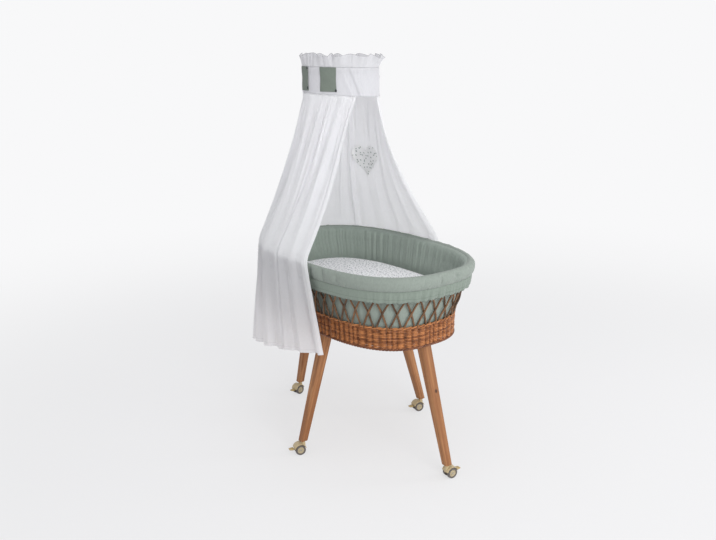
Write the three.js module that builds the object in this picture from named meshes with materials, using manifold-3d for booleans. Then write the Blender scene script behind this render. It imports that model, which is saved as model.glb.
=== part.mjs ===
// A wicker bassinet: an oval basket with a padded cover on four splayed legs with
// castors, and a cloth canopy that hangs from a hoop on a rod at the head end.
// Millimetres, +Z up, +X towards the foot end, -Y towards the near side.

import * as THREE from "three";
import { mergeVertices } from "three/addons/utils/BufferGeometryUtils.js";
import Module from "manifold-3d";

const wasm = await Module();
wasm.setup();

// Clearances
const GAP = 0.3; // between two pieces that touch
const CLOTH = 2.4; // thickness of a hanging cloth

// Basket outline, measured on the middle of its wall
const OVAL_POWER = 2.7; // 2 is an ellipse, more is squarer
const BASE_LENGTH = 776;
const BASE_WIDTH = 466;
const BAND_LEAN_LENGTH = 4; // how much longer the basket is at the top of the woven band
const BAND_LEAN_WIDTH = 10;
const RIM_FLARE_LENGTH = 104; // how much longer it is again at the rim, over the lattice
const RIM_FLARE_WIDTH = 76;

// Basket heights
const BASKET_BOTTOM = 476; // above the floor
const BAND_HEIGHT = 81;
const LATTICE_HEIGHT = 178; // from the band up to the middle of the rim hoop

// Wicker
const WALL = 9;
const BORDER_THICKNESS = 12;
const STAKE_PAIRS = 39;
const WEAVE_ROWS = 8;
const WEAVE_RELIEF = 1.8;
const LATTICE_PAIRS = 44;
const LATTICE_SPREAD = 0.42; // how far a rod stands from its pair's middle on the band, in pitches
const CROSSING_RISE = 59; // from the band up to where the rods cross in sight
const CROSSING_STEP = 52; // from there up to where they cross again, under the ruffle
const LATTICE_ROD = 6.4;
const LATTICE_COLLAR = 36; // the woven collar that they end in, under the cover
const RIM_HOOP = 16;
const FLOOR_THICKNESS = 12;
const BOARD_THICKNESS = 18;
const BOARD_RISE = 20; // from the foot of the basket up to the board

// Padded cover and bedding
const COVER_RISE = 23; // from the middle of the rim hoop up to the top of the cover
const COVER_DEPTH = 52; // from there down to the seam
const COVER_SEAM_OUT = 20; // how far the roll stands off the wall at its seam
const COVER_PAD = 14; // padding on the inside of the rim
const RUFFLE_DEPTH = 46;
const RUFFLE_FLARE = 21;
const RUFFLE_GATHERS = 32;
const RUFFLE_WAVE = 2.2;
const LINER_THICKNESS = 3;
const LINER_GATHERS = 24;
const LINER_WAVE = 1.6;
const MATTRESS_THICKNESS = 105; // at its edge
const MATTRESS_CROWN = 8;
const MATTRESS_ROUNDING = 22;
const SHEET_THICKNESS = 2;

// Legs
const LEG_REACH_LENGTH = 474; // from the middle of the basket to a foot, along X
const LEG_REACH_WIDTH = 297; // the same along Y
const LEG_INSET_LENGTH = 43; // from the edge of the board to the middle of a leg's plate, along X
const LEG_INSET_WIDTH = 65; // the same along Y
const LEG_TOP_SIDE = 40;
const LEG_FOOT_SIDE = 28;
const LEG_CHAMFER = 4;
const LEG_PLATE_SIDE = 60;
const LEG_PLATE_THICKNESS = 4;
const LEG_STUD_RADIUS = 5;
const LEG_STUD_LENGTH = 30;

// Castors
const CASTOR_HEIGHT = 52;
const WHEEL_DIAMETER = 40;
const WHEEL_WIDTH = 12;
const CASTOR_TRAIL = 14; // from the swivel axis to the wheel axis
const WEB_THICKNESS = 11;
const HOOD_RADIUS = 24;
const HOOD_WALL = 2.4;
const HOOD_WIDTH = 35;
const SWIVEL_BOSS_RADIUS = 8;
const AXLE_RADIUS = 2;
const STEM_RADIUS = 4;
const STEM_DEPTH = 14; // into the leg, and into the castor
const STEM_FLANGE_RADIUS = 10;
const STEM_FLANGE_THICKNESS = 2;
const PEDAL_LENGTH = 13;
const PEDAL_WIDTH = 15;
const PEDAL_THICKNESS = 7;

// Canopy
const CANOPY_TOP = 1455;
const HEADER_HEIGHT = 45;
const SASH_HEIGHT = 100;
const CANOPY_X = -112; // middle of the hoop
const CANOPY_RADIUS = 133; // middle of the hoop's rod
const HOOP_ROD_RADIUS = 5;
const HOOP_BELOW_HEADER = 10;
const HEADER_FLARE = 14;
const HEADER_GATHERS = 22;
const HEADER_WAVE = 3.5;
const STRAP_WIDTH = 61;
const STRAP_HEIGHT = 84;
const STRAP_ANGLES = [-102.9, -54.5];
const HEM_LOW = 330; // at the head end
const HEM_RISE = 138; // how much higher the hem hangs at the free edges
const CURTAIN_RIM_CLEARANCE = 3;
const CURTAIN_HEM_FLARE = 37; // how much wider the hem hangs than the rim
const CURTAIN_SAG = 22; // how far the cloth sags in between the hoop and the rim
const CURTAIN_FOLDS = 15;
const FOLD_AT_HOOP = 0.8;
const FOLD_AT_RIM = 4;
const FOLD_AT_HEM = 13;
const NEAR_EDGE_ANGLE = -13; // where each free edge starts on the hoop, degrees from +X
const FAR_EDGE_ANGLE = 30;
const NEAR_EDGE_RIM_X = 69; // where each free edge passes the rim
const FAR_EDGE_RIM_X = 93;
const NEAR_EDGE_HEM_X = 205;
const FAR_EDGE_HEM_X = 110;
const PATCH_WIDTH = 146;
const PATCH_DROP = 264; // from the sash down to the middle of the heart patch
const PATCH_SHARE = 0.756; // how far round the curtain it is sewn
const PATCH_CLEARANCE = 1.7; // off the curtain, whose folds reach into it

// Canopy rod and its holder
const ROD_RADIUS = 7;
const ROD_CLEARANCE = 3; // to the padded cover
const ROD_BEND = 24; // from a corner of the rod to each end of its bend
const ROD_BELOW_SASH = 70; // from the sash down to the upper corner of the rod
const SOCKET_RISE = 4; // from the foot of the basket up to the socket
const SOCKET_LENGTH = 140;
const SOCKET_WALL = 3.5;
const SOCKET_FLOOR = 4;
const BRACKET_PLATE_WIDTH = 80;
const BRACKET_PLATE_THICKNESS = 4;
const BRACKET_ARM_WIDTH = 24;
const BRACKET_ARM_THICKNESS = 6;
const KNOB_DROP = 22; // from the top of the socket
const KNOB_RADIUS = 12;
const KNOB_TURN = 45; // degrees from the near side towards the basket, clear of the curtain
const KNOB_LENGTH = 14;
const KNOB_SCREW_RADIUS = 3;
const KNOB_LOBES = 6;

// Colours from the photograph
const MATERIALS = {
  wicker: standard(0x8a5330, 0.65),
  wood: standard(0xa5703f, 0.5),
  sageCloth: standard(0x8fa394, 0.9),
  whiteCloth: standard(0xeceef1, 0.9),
  sheetCloth: standard(0xe4e4e6, 0.9),
  creamPlastic: standard(0xcbb78f, 0.45),
  steel: standard(0xb9bcc0, 0.3, 0.9),
  whiteMetal: standard(0xe9e9e6, 0.35, 0.3),
};

function standard(color, roughness, metalness = 0) {
  return new THREE.MeshStandardMaterial({ color, roughness, metalness });
}

const UP = new THREE.Vector3(0, 0, 1);
const mix = (a, b, t) => a + (b - a) * t;
const clamp = (t) => Math.min(1, Math.max(0, t));
const radians = THREE.MathUtils.degToRad;

const BAND_LENGTH = BASE_LENGTH + BAND_LEAN_LENGTH;
const BAND_WIDTH = BASE_WIDTH + BAND_LEAN_WIDTH;
const RIM_LENGTH = BAND_LENGTH + RIM_FLARE_LENGTH;
const RIM_WIDTH = BAND_WIDTH + RIM_FLARE_WIDTH;
const BAND_TOP = BASKET_BOTTOM + BAND_HEIGHT;
const RIM_HEIGHT = BAND_TOP + LATTICE_HEIGHT; // middle of the rim hoop
const COVER_TOP = RIM_HEIGHT + COVER_RISE;
const SEAM_HEIGHT = COVER_TOP - COVER_DEPTH;

// The oval. A share runs from 0 to 1 round it in equal lengths, from +X towards +Y.

function unitOval(angle) {
  const c = Math.cos(angle);
  const s = Math.sin(angle);
  const size = (Math.abs(c) ** OVAL_POWER + Math.abs(s) ** OVAL_POWER) ** (1 / OVAL_POWER);
  return [c / size, s / size];
}

const OUTLINE_STEPS = 1440;
const outlineLengths = measureOutline();

function measureOutline() {
  const lengths = [0];
  let [lastX, lastY] = [RIM_LENGTH / 2, 0];
  for (let i = 1; i <= OUTLINE_STEPS; i++) {
    const [c, s] = unitOval((i / OUTLINE_STEPS) * 2 * Math.PI);
    const x = (c * RIM_LENGTH) / 2;
    const y = (s * RIM_WIDTH) / 2;
    lengths.push(lengths[i - 1] + Math.hypot(x - lastX, y - lastY));
    [lastX, lastY] = [x, y];
  }
  return lengths;
}

function angleAtShare(share) {
  const wanted = (share - Math.floor(share)) * outlineLengths[OUTLINE_STEPS];
  let low = 0;
  let high = OUTLINE_STEPS;
  while (high - low > 1) {
    const middle = (low + high) >> 1;
    if (outlineLengths[middle] > wanted) high = middle;
    else low = middle;
  }
  const part = (wanted - outlineLengths[low]) / (outlineLengths[high] - outlineLengths[low]);
  return ((low + part) / OUTLINE_STEPS) * 2 * Math.PI;
}

// The share at which an oval of this half length reaches x on its +Y side.
function shareAtX(halfLength, x) {
  const c = x / halfLength;
  const s = (1 - Math.abs(c) ** OVAL_POWER) ** (1 / OVAL_POWER);
  const steps = (Math.atan2(s, c) / (2 * Math.PI)) * OUTLINE_STEPS;
  const low = Math.floor(steps);
  const length = mix(outlineLengths[low], outlineLengths[low + 1], steps - low);
  return length / outlineLengths[OUTLINE_STEPS];
}

function ovalSpot(halfLength, halfWidth, share, z) {
  const [c, s] = unitOval(angleAtShare(share));
  return [c * halfLength, s * halfWidth, z];
}

// Half length and half width of the middle of the basket's wall at a height.
function wallSize(z) {
  const low = clamp((z - BASKET_BOTTOM) / (BAND_TOP - BASKET_BOTTOM));
  const high = Math.max(0, (z - BAND_TOP) / (RIM_HEIGHT - BAND_TOP));
  return [
    (mix(BASE_LENGTH, BAND_LENGTH, low) + (RIM_LENGTH - BAND_LENGTH) * high) / 2,
    (mix(BASE_WIDTH, BAND_WIDTH, low) + (RIM_WIDTH - BAND_WIDTH) * high) / 2,
  ];
}

function wallSpot(share, out, z) {
  const [halfLength, halfWidth] = wallSize(z);
  return ovalSpot(halfLength + out, halfWidth + out, share, z);
}

// Closed bodies from rings of points

function faceOut(points, faces) {
  let volume = 0;
  const at = (i) => new THREE.Vector3(...points[i]);
  for (let i = 0; i < faces.length; i += 3) {
    volume += at(faces[i]).dot(at(faces[i + 1]).cross(at(faces[i + 2])));
  }
  if (volume < 0) faces.reverse();
  const geometry = new THREE.BufferGeometry();
  geometry.setAttribute("position", new THREE.Float32BufferAttribute(points.flat(), 3));
  geometry.setIndex(faces);
  return geometry;
}

function quad(faces, a, b, c, d) {
  faces.push(a, b, c, a, c, d);
}

// Joins rings of equal length, and closes them on themselves or with flat ends.
function ringBody(rings, closed) {
  const sides = rings[0].length;
  const points = rings.flat();
  const faces = [];
  const spans = closed ? rings.length : rings.length - 1;
  for (let i = 0; i < spans; i++) {
    const here = i * sides;
    const next = ((i + 1) % rings.length) * sides;
    for (let j = 0; j < sides; j++) {
      const k = (j + 1) % sides;
      quad(faces, here + j, next + j, next + k, here + k);
    }
  }
  if (!closed) {
    capRing(points, faces, 0, sides, false);
    capRing(points, faces, (rings.length - 1) * sides, sides, true);
  }
  return faceOut(points, faces);
}

function capRing(points, faces, start, sides, turned) {
  const middle = [0, 1, 2].map(
    (axis) => points.slice(start, start + sides).reduce((sum, p) => sum + p[axis], 0) / sides,
  );
  const centre = points.push(middle) - 1;
  for (let j = 0; j < sides; j++) {
    const a = start + j;
    const b = start + ((j + 1) % sides);
    if (turned) faces.push(centre, b, a);
    else faces.push(centre, a, b);
  }
}

// A ring round the basket whose section may change from place to place.
function roundBasket(stations, sectionAt) {
  const rings = [];
  for (let i = 0; i < stations; i++) rings.push(sectionAt(i / stations, i));
  return ringBody(rings, true);
}

// A thin body between a front and a back grid of points, rows by columns.
function sheetBody(front, back) {
  const rows = front.length;
  const columns = front[0].length;
  const points = [...front.flat(), ...back.flat()];
  const under = rows * columns;
  const faces = [];
  const at = (row, column) => row * columns + column;
  for (let r = 0; r < rows - 1; r++) {
    for (let c = 0; c < columns - 1; c++) {
      const corners = [at(r, c), at(r + 1, c), at(r + 1, c + 1), at(r, c + 1)];
      quad(faces, ...corners);
      quad(faces, ...corners.map((i) => i + under).reverse());
    }
  }
  const border = [];
  for (let c = 0; c < columns - 1; c++) border.push(at(0, c));
  for (let r = 0; r < rows - 1; r++) border.push(at(r, columns - 1));
  for (let c = columns - 1; c > 0; c--) border.push(at(rows - 1, c));
  for (let r = rows - 1; r > 0; r--) border.push(at(r, 0));
  border.forEach((here, i) => {
    const next = border[(i + 1) % border.length];
    quad(faces, here, next, next + under, here + under);
  });
  return faceOut(points, faces);
}

// A stack of horizontal sections of the oval, such as a board or a cushion.
function ovalStack(layers, stations) {
  const rings = layers.map(([halfLength, halfWidth, z]) => {
    const ring = [];
    for (let i = 0; i < stations; i++) ring.push(ovalSpot(halfLength, halfWidth, i / stations, z));
    return ring;
  });
  return ringBody(rings, false);
}

// Joins and cuts

function toSolid(geometry) {
  const bare = geometry.clone();
  bare.deleteAttribute("normal");
  bare.deleteAttribute("uv");
  const merged = mergeVertices(bare, 1e-4);
  return new wasm.Manifold(
    new wasm.Mesh({
      numProp: 3,
      vertProperties: new Float32Array(merged.attributes.position.array),
      triVerts: new Uint32Array(merged.index.array),
    }),
  );
}

function fromSolid(solid) {
  const mesh = solid.getMesh();
  const geometry = new THREE.BufferGeometry();
  geometry.setAttribute("position", new THREE.Float32BufferAttribute(mesh.vertProperties, 3));
  geometry.setIndex(new THREE.Uint32BufferAttribute(mesh.triVerts, 1));
  return geometry;
}

function join(geometries) {
  return fromSolid(geometries.map(toSolid).reduce((whole, piece) => whole.add(piece)));
}

function cut(geometry, cutters) {
  return fromSolid(cutters.map(toSolid).reduce((left, cutter) => left.subtract(cutter), toSolid(geometry)));
}

// The radius of a bore with this many flat sides that clears a round pin.
function boreFor(radius, sides) {
  return (radius + GAP) / Math.cos(Math.PI / sides);
}

// An upright cylinder between two heights.
function upright(radius, low, high, sides, x = 0, y = 0) {
  const geometry = new THREE.CylinderGeometry(radius, radius, high - low, sides);
  geometry.rotateX(Math.PI / 2);
  return geometry.translate(x, y, (low + high) / 2);
}

function box(x0, x1, y0, y1, z0, z1) {
  const geometry = new THREE.BoxGeometry(x1 - x0, y1 - y0, z1 - z0);
  return geometry.translate((x0 + x1) / 2, (y0 + y1) / 2, (z0 + z1) / 2);
}

// An outline in the XZ plane, given thickness across Y.
function sidePlate(shape, thickness, segments) {
  const geometry = new THREE.ExtrudeGeometry(shape, {
    depth: thickness,
    bevelEnabled: false,
    curveSegments: segments,
  });
  return geometry.rotateX(Math.PI / 2).translate(0, thickness / 2, 0);
}

const bassinet = new THREE.Group();

function add(name, geometry, material, parent = bassinet) {
  const mesh = new THREE.Mesh(geometry, MATERIALS[material]);
  mesh.name = name;
  parent.add(mesh);
  return mesh;
}

// Wicker basket

const BAND_BOTTOM = BASKET_BOTTOM + BORDER_THICKNESS + GAP;
const LATTICE_BOTTOM = BAND_TOP + GAP;
const LATTICE_TOP = RIM_HEIGHT - RIM_HOOP / 2 - GAP;
const BOARD_HEIGHT = BASKET_BOTTOM + BOARD_RISE;
const FLOOR_HEIGHT = BOARD_HEIGHT + BOARD_THICKNESS + GAP;
const STAKES = 2 * STAKE_PAIRS;
const PLATE_STATIONS = STAKE_PAIRS; // every second place of the band, so that flats meet flats
const RIM_STATIONS = 48;

// Each row of the weave passes in front of one stake and behind the next.
function wickerBand() {
  const rowHeight = (BAND_TOP - BAND_BOTTOM) / WEAVE_ROWS;
  return roundBasket(STAKES, (share, stake) => {
    const section = [wallSpot(share, WALL / 2 - WEAVE_RELIEF, BAND_BOTTOM)];
    for (let row = 0; row < WEAVE_ROWS; row++) {
      const inFront = (stake + row) % 2 === 0 ? WEAVE_RELIEF : -WEAVE_RELIEF;
      section.push(wallSpot(share, WALL / 2 + inFront, BAND_BOTTOM + (row + 0.5) * rowHeight));
    }
    section.push(wallSpot(share, WALL / 2 - WEAVE_RELIEF, BAND_TOP));
    section.push(wallSpot(share, -WALL / 2, BAND_TOP));
    section.push(wallSpot(share, -WALL / 2, BAND_BOTTOM));
    return section;
  });
}

// The foot border is a twisted rope, so its section turns from place to place.
function bottomBorder() {
  const sides = 4;
  const stations = 52;
  const middle = BASKET_BOTTOM + BORDER_THICKNESS / 2;
  return roundBasket(stations, (share, place) => {
    const section = [];
    for (let j = 0; j < sides; j++) {
      const angle = (j / sides) * 2 * Math.PI;
      const bulge = (place + j) % 2 === 0 ? 1 : 0.8;
      const radius = (BORDER_THICKNESS / 2) * bulge;
      section.push(wallSpot(share, radius * Math.cos(angle), middle + radius * Math.sin(angle)));
    }
    return section;
  });
}

// One rod of the lattice, leaning one way round the basket. The rods that lean one
// way pass outside the others, so that they cross without touching.
function latticeRod(index, lean) {
  const half = LATTICE_ROD / 2;
  const crossing = BAND_TOP + CROSSING_RISE;
  const top = LATTICE_TOP - LATTICE_COLLAR * 0.9;
  const topTurn = 0.5 + (0.5 * (top - crossing - CROSSING_STEP)) / CROSSING_STEP;
  const stations = [
    { z: LATTICE_BOTTOM, turn: -LATTICE_SPREAD, bow: 0 },
    { z: crossing, turn: 0, bow: half + GAP },
    { z: crossing + CROSSING_STEP, turn: 0.5, bow: half + GAP },
    { z: top, turn: topTurn, bow: 0 },
  ];
  const rings = stations.map(({ z, turn, bow }) => {
    const share = (index + lean * turn) / LATTICE_PAIRS;
    const [x, y] = wallSpot(share, lean * bow, z);
    const [outX, outY] = wallSpot(share, lean * bow + 1, z);
    const out = new THREE.Vector3(outX - x, outY - y, 0).normalize().multiplyScalar(half);
    return [0, 120, 240].map((angle) => {
      const corner = out.clone().applyAxisAngle(UP, radians(angle));
      return [x + corner.x, y + corner.y, z];
    });
  });
  return ringBody(rings, false);
}

function latticeCollar() {
  const half = LATTICE_ROD / 2 + 1;
  return roundBasket(LATTICE_PAIRS, (share) => [
    wallSpot(share, half, LATTICE_TOP - LATTICE_COLLAR),
    wallSpot(share, half, LATTICE_TOP),
    wallSpot(share, -half, LATTICE_TOP),
    wallSpot(share, -half, LATTICE_TOP - LATTICE_COLLAR),
  ]);
}

function wickerLattice() {
  const pieces = [latticeCollar()];
  for (let i = 0; i < LATTICE_PAIRS; i++) {
    pieces.push(latticeRod(i, 1));
    pieces.push(latticeRod(i, -1));
  }
  return join(pieces);
}

function rimHoop() {
  const sides = 5;
  return roundBasket(RIM_STATIONS, (share) => {
    const section = [];
    for (let j = 0; j < sides; j++) {
      const angle = (j / sides + 0.25) * 2 * Math.PI;
      const out = (RIM_HOOP / 2) * Math.cos(angle);
      section.push(wallSpot(share, out, RIM_HEIGHT + (RIM_HOOP / 2) * Math.sin(angle)));
    }
    return section;
  });
}

// Half sizes of what fits inside the wall between two heights.
function roomInside(low, high, inset) {
  const ends = [wallSize(low), wallSize(high)];
  return [0, 1].map((axis) => Math.min(ends[0][axis], ends[1][axis]) - inset);
}

function insideWall(z, thickness) {
  const half = roomInside(z, z + thickness, WALL / 2 + GAP);
  return ovalStack([[...half, z], [...half, z + thickness]], PLATE_STATIONS);
}

function buildBasket() {
  add("base_board", insideWall(BOARD_HEIGHT, BOARD_THICKNESS), "wood");
  add("wicker_floor", insideWall(FLOOR_HEIGHT, FLOOR_THICKNESS), "wicker");
  add("bottom_border", bottomBorder(), "wicker");
  add("wicker_band", wickerBand(), "wicker");
  add("wicker_lattice", wickerLattice(), "wicker");
  add("rim_hoop", rimHoop(), "wicker");
}

// Padded cover, ruffle, liner, mattress and sheet

const COVER_CAVITY = RIM_HOOP / 2 + 2 * GAP;

function paddedCover() {
  const shoulder = RIM_HEIGHT + 3;
  const cavityTop = RIM_HEIGHT + COVER_CAVITY;
  const rise = COVER_TOP - shoulder;
  const profile = [
    [COVER_SEAM_OUT, SEAM_HEIGHT],
    [COVER_SEAM_OUT - 1, mix(SEAM_HEIGHT, shoulder, 0.5)],
    [COVER_PAD + 1, shoulder],
    [COVER_PAD * 0.6, shoulder + rise * 0.68],
    [1, COVER_TOP],
    [-COVER_PAD * 0.7, shoulder + rise * 0.68],
    [-COVER_PAD - 1, mix(SEAM_HEIGHT, shoulder, 0.8)],
    [-COVER_PAD, SEAM_HEIGHT],
    [-COVER_CAVITY, SEAM_HEIGHT],
    [-COVER_CAVITY, cavityTop],
    [COVER_CAVITY, cavityTop],
    [COVER_CAVITY, SEAM_HEIGHT],
  ];
  return roundBasket(RIM_STATIONS, (share) => profile.map(([out, z]) => wallSpot(share, out, z)));
}

function ruffle() {
  const top = SEAM_HEIGHT - GAP;
  const bottom = SEAM_HEIGHT - RUFFLE_DEPTH;
  const samples = 3;
  return roundBasket(RUFFLE_GATHERS * samples, (share) => {
    const wave = RUFFLE_WAVE * Math.sin(share * RUFFLE_GATHERS * 2 * Math.PI);
    const levels = [
      [COVER_SEAM_OUT - CLOTH, wave * 0.3, top],
      [mix(COVER_SEAM_OUT, RUFFLE_FLARE, 0.5), wave * 0.8, mix(top, bottom, 0.5)],
      [RUFFLE_FLARE, wave, bottom],
    ];
    const outside = levels.map(([out, fold, z]) => wallSpot(share, out + fold, z));
    const inside = levels.map(([out, fold, z]) => wallSpot(share, out + fold - CLOTH, z));
    return [...outside, ...inside.reverse()];
  });
}

const LINER_BOTTOM = FLOOR_HEIGHT + FLOOR_THICKNESS + GAP;
const LINER_OUT = LATTICE_ROD + 2 * GAP; // clear of the rods that bow inward

function liner() {
  const top = SEAM_HEIGHT - GAP;
  const samples = 3;
  return roundBasket(LINER_GATHERS * samples, (share) => {
    const wave = LINER_WAVE * (1 + Math.sin(share * LINER_GATHERS * 2 * Math.PI));
    const levels = [
      [-COVER_CAVITY, wave, top],
      [-LINER_OUT, wave / 2, BAND_TOP],
      [-LINER_OUT, 0, LINER_BOTTOM],
    ];
    const outside = levels.map(([out, , z]) => wallSpot(share, out, z));
    const inside = levels.map(([out, fold, z]) => wallSpot(share, out - LINER_THICKNESS - fold, z));
    return [...outside, ...inside.reverse()];
  });
}

const MATTRESS_TOP = LINER_BOTTOM + MATTRESS_THICKNESS;
const MATTRESS_INSET = LINER_OUT + LINER_THICKNESS + LINER_WAVE + SHEET_THICKNESS + 2 * GAP;
const MATTRESS_HALF = roomInside(LINER_BOTTOM, BAND_TOP, MATTRESS_INSET);

// Layers of a cushion from a height up over its crown, grown outward by some amount.
function cushionLayers(low, grown) {
  const [halfLength, halfWidth] = MATTRESS_HALF;
  const waist = MATTRESS_ROUNDING * 0.12; // the sides are drawn in between two seams
  const layers = [
    [waist, low],
    [waist, mix(LINER_BOTTOM, MATTRESS_TOP, 0.5)],
    [0, MATTRESS_TOP - MATTRESS_ROUNDING + grown],
    [MATTRESS_ROUNDING * 0.3, MATTRESS_TOP - MATTRESS_ROUNDING * 0.3 + grown],
    [MATTRESS_ROUNDING, MATTRESS_TOP + grown],
    [halfWidth * 0.4, MATTRESS_TOP + MATTRESS_CROWN * 0.8 + grown],
    [halfWidth * 0.8, MATTRESS_TOP + MATTRESS_CROWN + grown],
  ];
  return layers.map(([inset, z]) => [halfLength - inset + grown, halfWidth - inset + grown, z]);
}

function mattress() {
  const seam = MATTRESS_HALF.map((half) => half - MATTRESS_ROUNDING * 0.3);
  const bottom = [...seam, LINER_BOTTOM];
  return ovalStack([bottom, ...cushionLayers(LINER_BOTTOM + MATTRESS_ROUNDING * 0.5, 0)], PLATE_STATIONS);
}

// The sheet is a thin cap over the mattress, down to a hem on its sides.
function fittedSheet() {
  const hem = mix(LINER_BOTTOM, MATTRESS_TOP, 0.25);
  const inside = cushionLayers(hem, GAP);
  const outside = cushionLayers(hem, GAP + SHEET_THICKNESS);
  return ovalStack([...inside.reverse(), ...outside], PLATE_STATIONS);
}

function buildBedding() {
  add("padded_cover", paddedCover(), "sageCloth");
  add("ruffle", ruffle(), "sageCloth");
  add("liner", liner(), "sageCloth");
  add("mattress", mattress(), "whiteCloth");
  add("fitted_sheet", fittedSheet(), "sheetCloth");
}

// Legs, set out in a diamond: one at each end and one at each side

const LEG_TOP = BOARD_HEIGHT - GAP - LEG_PLATE_THICKNESS - GAP;
const BOARD_HALF = roomInside(BOARD_HEIGHT, BOARD_HEIGHT + BOARD_THICKNESS, WALL / 2 + GAP);
const LENGTHWISE = { reach: LEG_REACH_LENGTH, topX: BOARD_HALF[0] - LEG_INSET_LENGTH };
const CROSSWISE = { reach: LEG_REACH_WIDTH, topX: BOARD_HALF[1] - LEG_INSET_WIDTH };

const LEGS = [
  { name: "foot", turn: 0, heading: 83, ...LENGTHWISE },
  { name: "far", turn: 90, heading: -102, ...CROSSWISE },
  { name: "head", turn: 180, heading: -82, ...LENGTHWISE },
  { name: "near", turn: -90, heading: -107, ...CROSSWISE },
];

function chamferedSquare(side, x, z) {
  const h = side / 2;
  const k = h - LEG_CHAMFER;
  const corners = [[h, -k], [h, k], [k, h], [-k, h], [-h, k], [-h, -k], [-k, -h], [k, -h]];
  return corners.map(([dx, dy]) => [x + dx, dy, z]);
}

// A leg that leans out along +X from its top to its foot at the given reach.
function leg(reach, topX) {
  const body = ringBody(
    [chamferedSquare(LEG_FOOT_SIDE, reach, CASTOR_HEIGHT), chamferedSquare(LEG_TOP_SIDE, topX, LEG_TOP)],
    false,
  );
  const stemBore = upright(boreFor(STEM_RADIUS, 7), CASTOR_HEIGHT - 1, CASTOR_HEIGHT + STEM_DEPTH + GAP, 7, reach);
  const studBore = upright(boreFor(LEG_STUD_RADIUS, 7), LEG_TOP - LEG_STUD_LENGTH - GAP, LEG_TOP + 1, 7, topX);
  return cut(body, [stemBore, studBore]);
}

function legPlate(topX) {
  const low = LEG_TOP + GAP;
  const high = low + LEG_PLATE_THICKNESS;
  const plate = ringBody(
    [chamferedSquare(LEG_PLATE_SIDE, topX, low), chamferedSquare(LEG_PLATE_SIDE, topX, high)],
    false,
  );
  return join([plate, upright(LEG_STUD_RADIUS, LEG_TOP - LEG_STUD_LENGTH, low + 1, 7, topX)]);
}

// Castors. Each is made at the origin, with its wheels trailing along +X.

const AXLE_HEIGHT = WHEEL_DIAMETER / 2;
const WHEEL_INNER = WEB_THICKNESS / 2 + 0.5;
const FLANGE_BOTTOM = CASTOR_HEIGHT - GAP - STEM_FLANGE_THICKNESS;
const BOSS_TOP = FLANGE_BOTTOM - GAP;
const STEM_BOTTOM = BOSS_TOP - STEM_DEPTH;

function castorStem() {
  const profile = [
    [0, STEM_BOTTOM],
    [STEM_RADIUS, STEM_BOTTOM],
    [STEM_RADIUS, FLANGE_BOTTOM],
    [STEM_FLANGE_RADIUS, FLANGE_BOTTOM],
    [STEM_FLANGE_RADIUS, FLANGE_BOTTOM + STEM_FLANGE_THICKNESS],
    [STEM_RADIUS, FLANGE_BOTTOM + STEM_FLANGE_THICKNESS],
    [STEM_RADIUS, CASTOR_HEIGHT + STEM_DEPTH],
    [0, CASTOR_HEIGHT + STEM_DEPTH],
  ];
  return new THREE.LatheGeometry(profile.map((p) => new THREE.Vector2(...p)), 7).rotateX(Math.PI / 2);
}

// The web between the wheels, the guard over them, and the swivel boss.
function castorHood() {
  const web = new THREE.Shape();
  web.absarc(CASTOR_TRAIL, AXLE_HEIGHT, HOOD_RADIUS, 0, Math.PI, false);
  web.absarc(CASTOR_TRAIL, AXLE_HEIGHT, HOOD_RADIUS * 0.6, Math.PI, 2 * Math.PI, false);
  const guard = new THREE.Shape();
  const from = radians(18);
  const to = radians(162);
  guard.absarc(CASTOR_TRAIL, AXLE_HEIGHT, HOOD_RADIUS, from, to, false);
  guard.absarc(CASTOR_TRAIL, AXLE_HEIGHT, HOOD_RADIUS - HOOD_WALL, to, from, true);
  const aboveGuard = AXLE_HEIGHT + HOOD_RADIUS - HOOD_WALL;
  const half = WEB_THICKNESS / 2;
  const joined = join([
    sidePlate(web, WEB_THICKNESS, 5),
    sidePlate(guard, HOOD_WIDTH, 5),
    box(-SWIVEL_BOSS_RADIUS, CASTOR_TRAIL, -half, half, AXLE_HEIGHT, aboveGuard + 1),
    upright(SWIVEL_BOSS_RADIUS, aboveGuard, BOSS_TOP, 7),
  ]);
  const axleBore = upright(boreFor(AXLE_RADIUS, 6), -WEB_THICKNESS, WEB_THICKNESS, 6);
  axleBore.rotateX(Math.PI / 2).translate(CASTOR_TRAIL, 0, AXLE_HEIGHT);
  const stemBore = upright(boreFor(STEM_RADIUS, 7), STEM_BOTTOM - GAP, BOSS_TOP + 1, 7);
  return cut(joined, [axleBore, stemBore]);
}

function castorWheel(side) {
  const radius = WHEEL_DIAMETER / 2;
  const bore = boreFor(AXLE_RADIUS, 14);
  const profile = [
    [bore, 0],
    [radius - 1, 0],
    [radius, 1.5],
    [radius, WHEEL_WIDTH - 1.5],
    [radius - 1.5, WHEEL_WIDTH],
    [bore, WHEEL_WIDTH - 1],
    [bore, 0],
  ];
  const wheel = new THREE.LatheGeometry(profile.map((p) => new THREE.Vector2(...p)), 14);
  if (side < 0) wheel.rotateX(Math.PI);
  return wheel.translate(CASTOR_TRAIL, side * WHEEL_INNER, AXLE_HEIGHT);
}

function castorAxle() {
  const length = 2 * (WHEEL_INNER + WHEEL_WIDTH - 1);
  return new THREE.CylinderGeometry(AXLE_RADIUS, AXLE_RADIUS, length, 6).translate(
    CASTOR_TRAIL,
    0,
    AXLE_HEIGHT,
  );
}

const PEDAL_PIVOT_X = CASTOR_TRAIL + HOOD_RADIUS + GAP + PEDAL_THICKNESS / 2;
const PEDAL_PIVOT_Z = AXLE_HEIGHT + 4;

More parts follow.
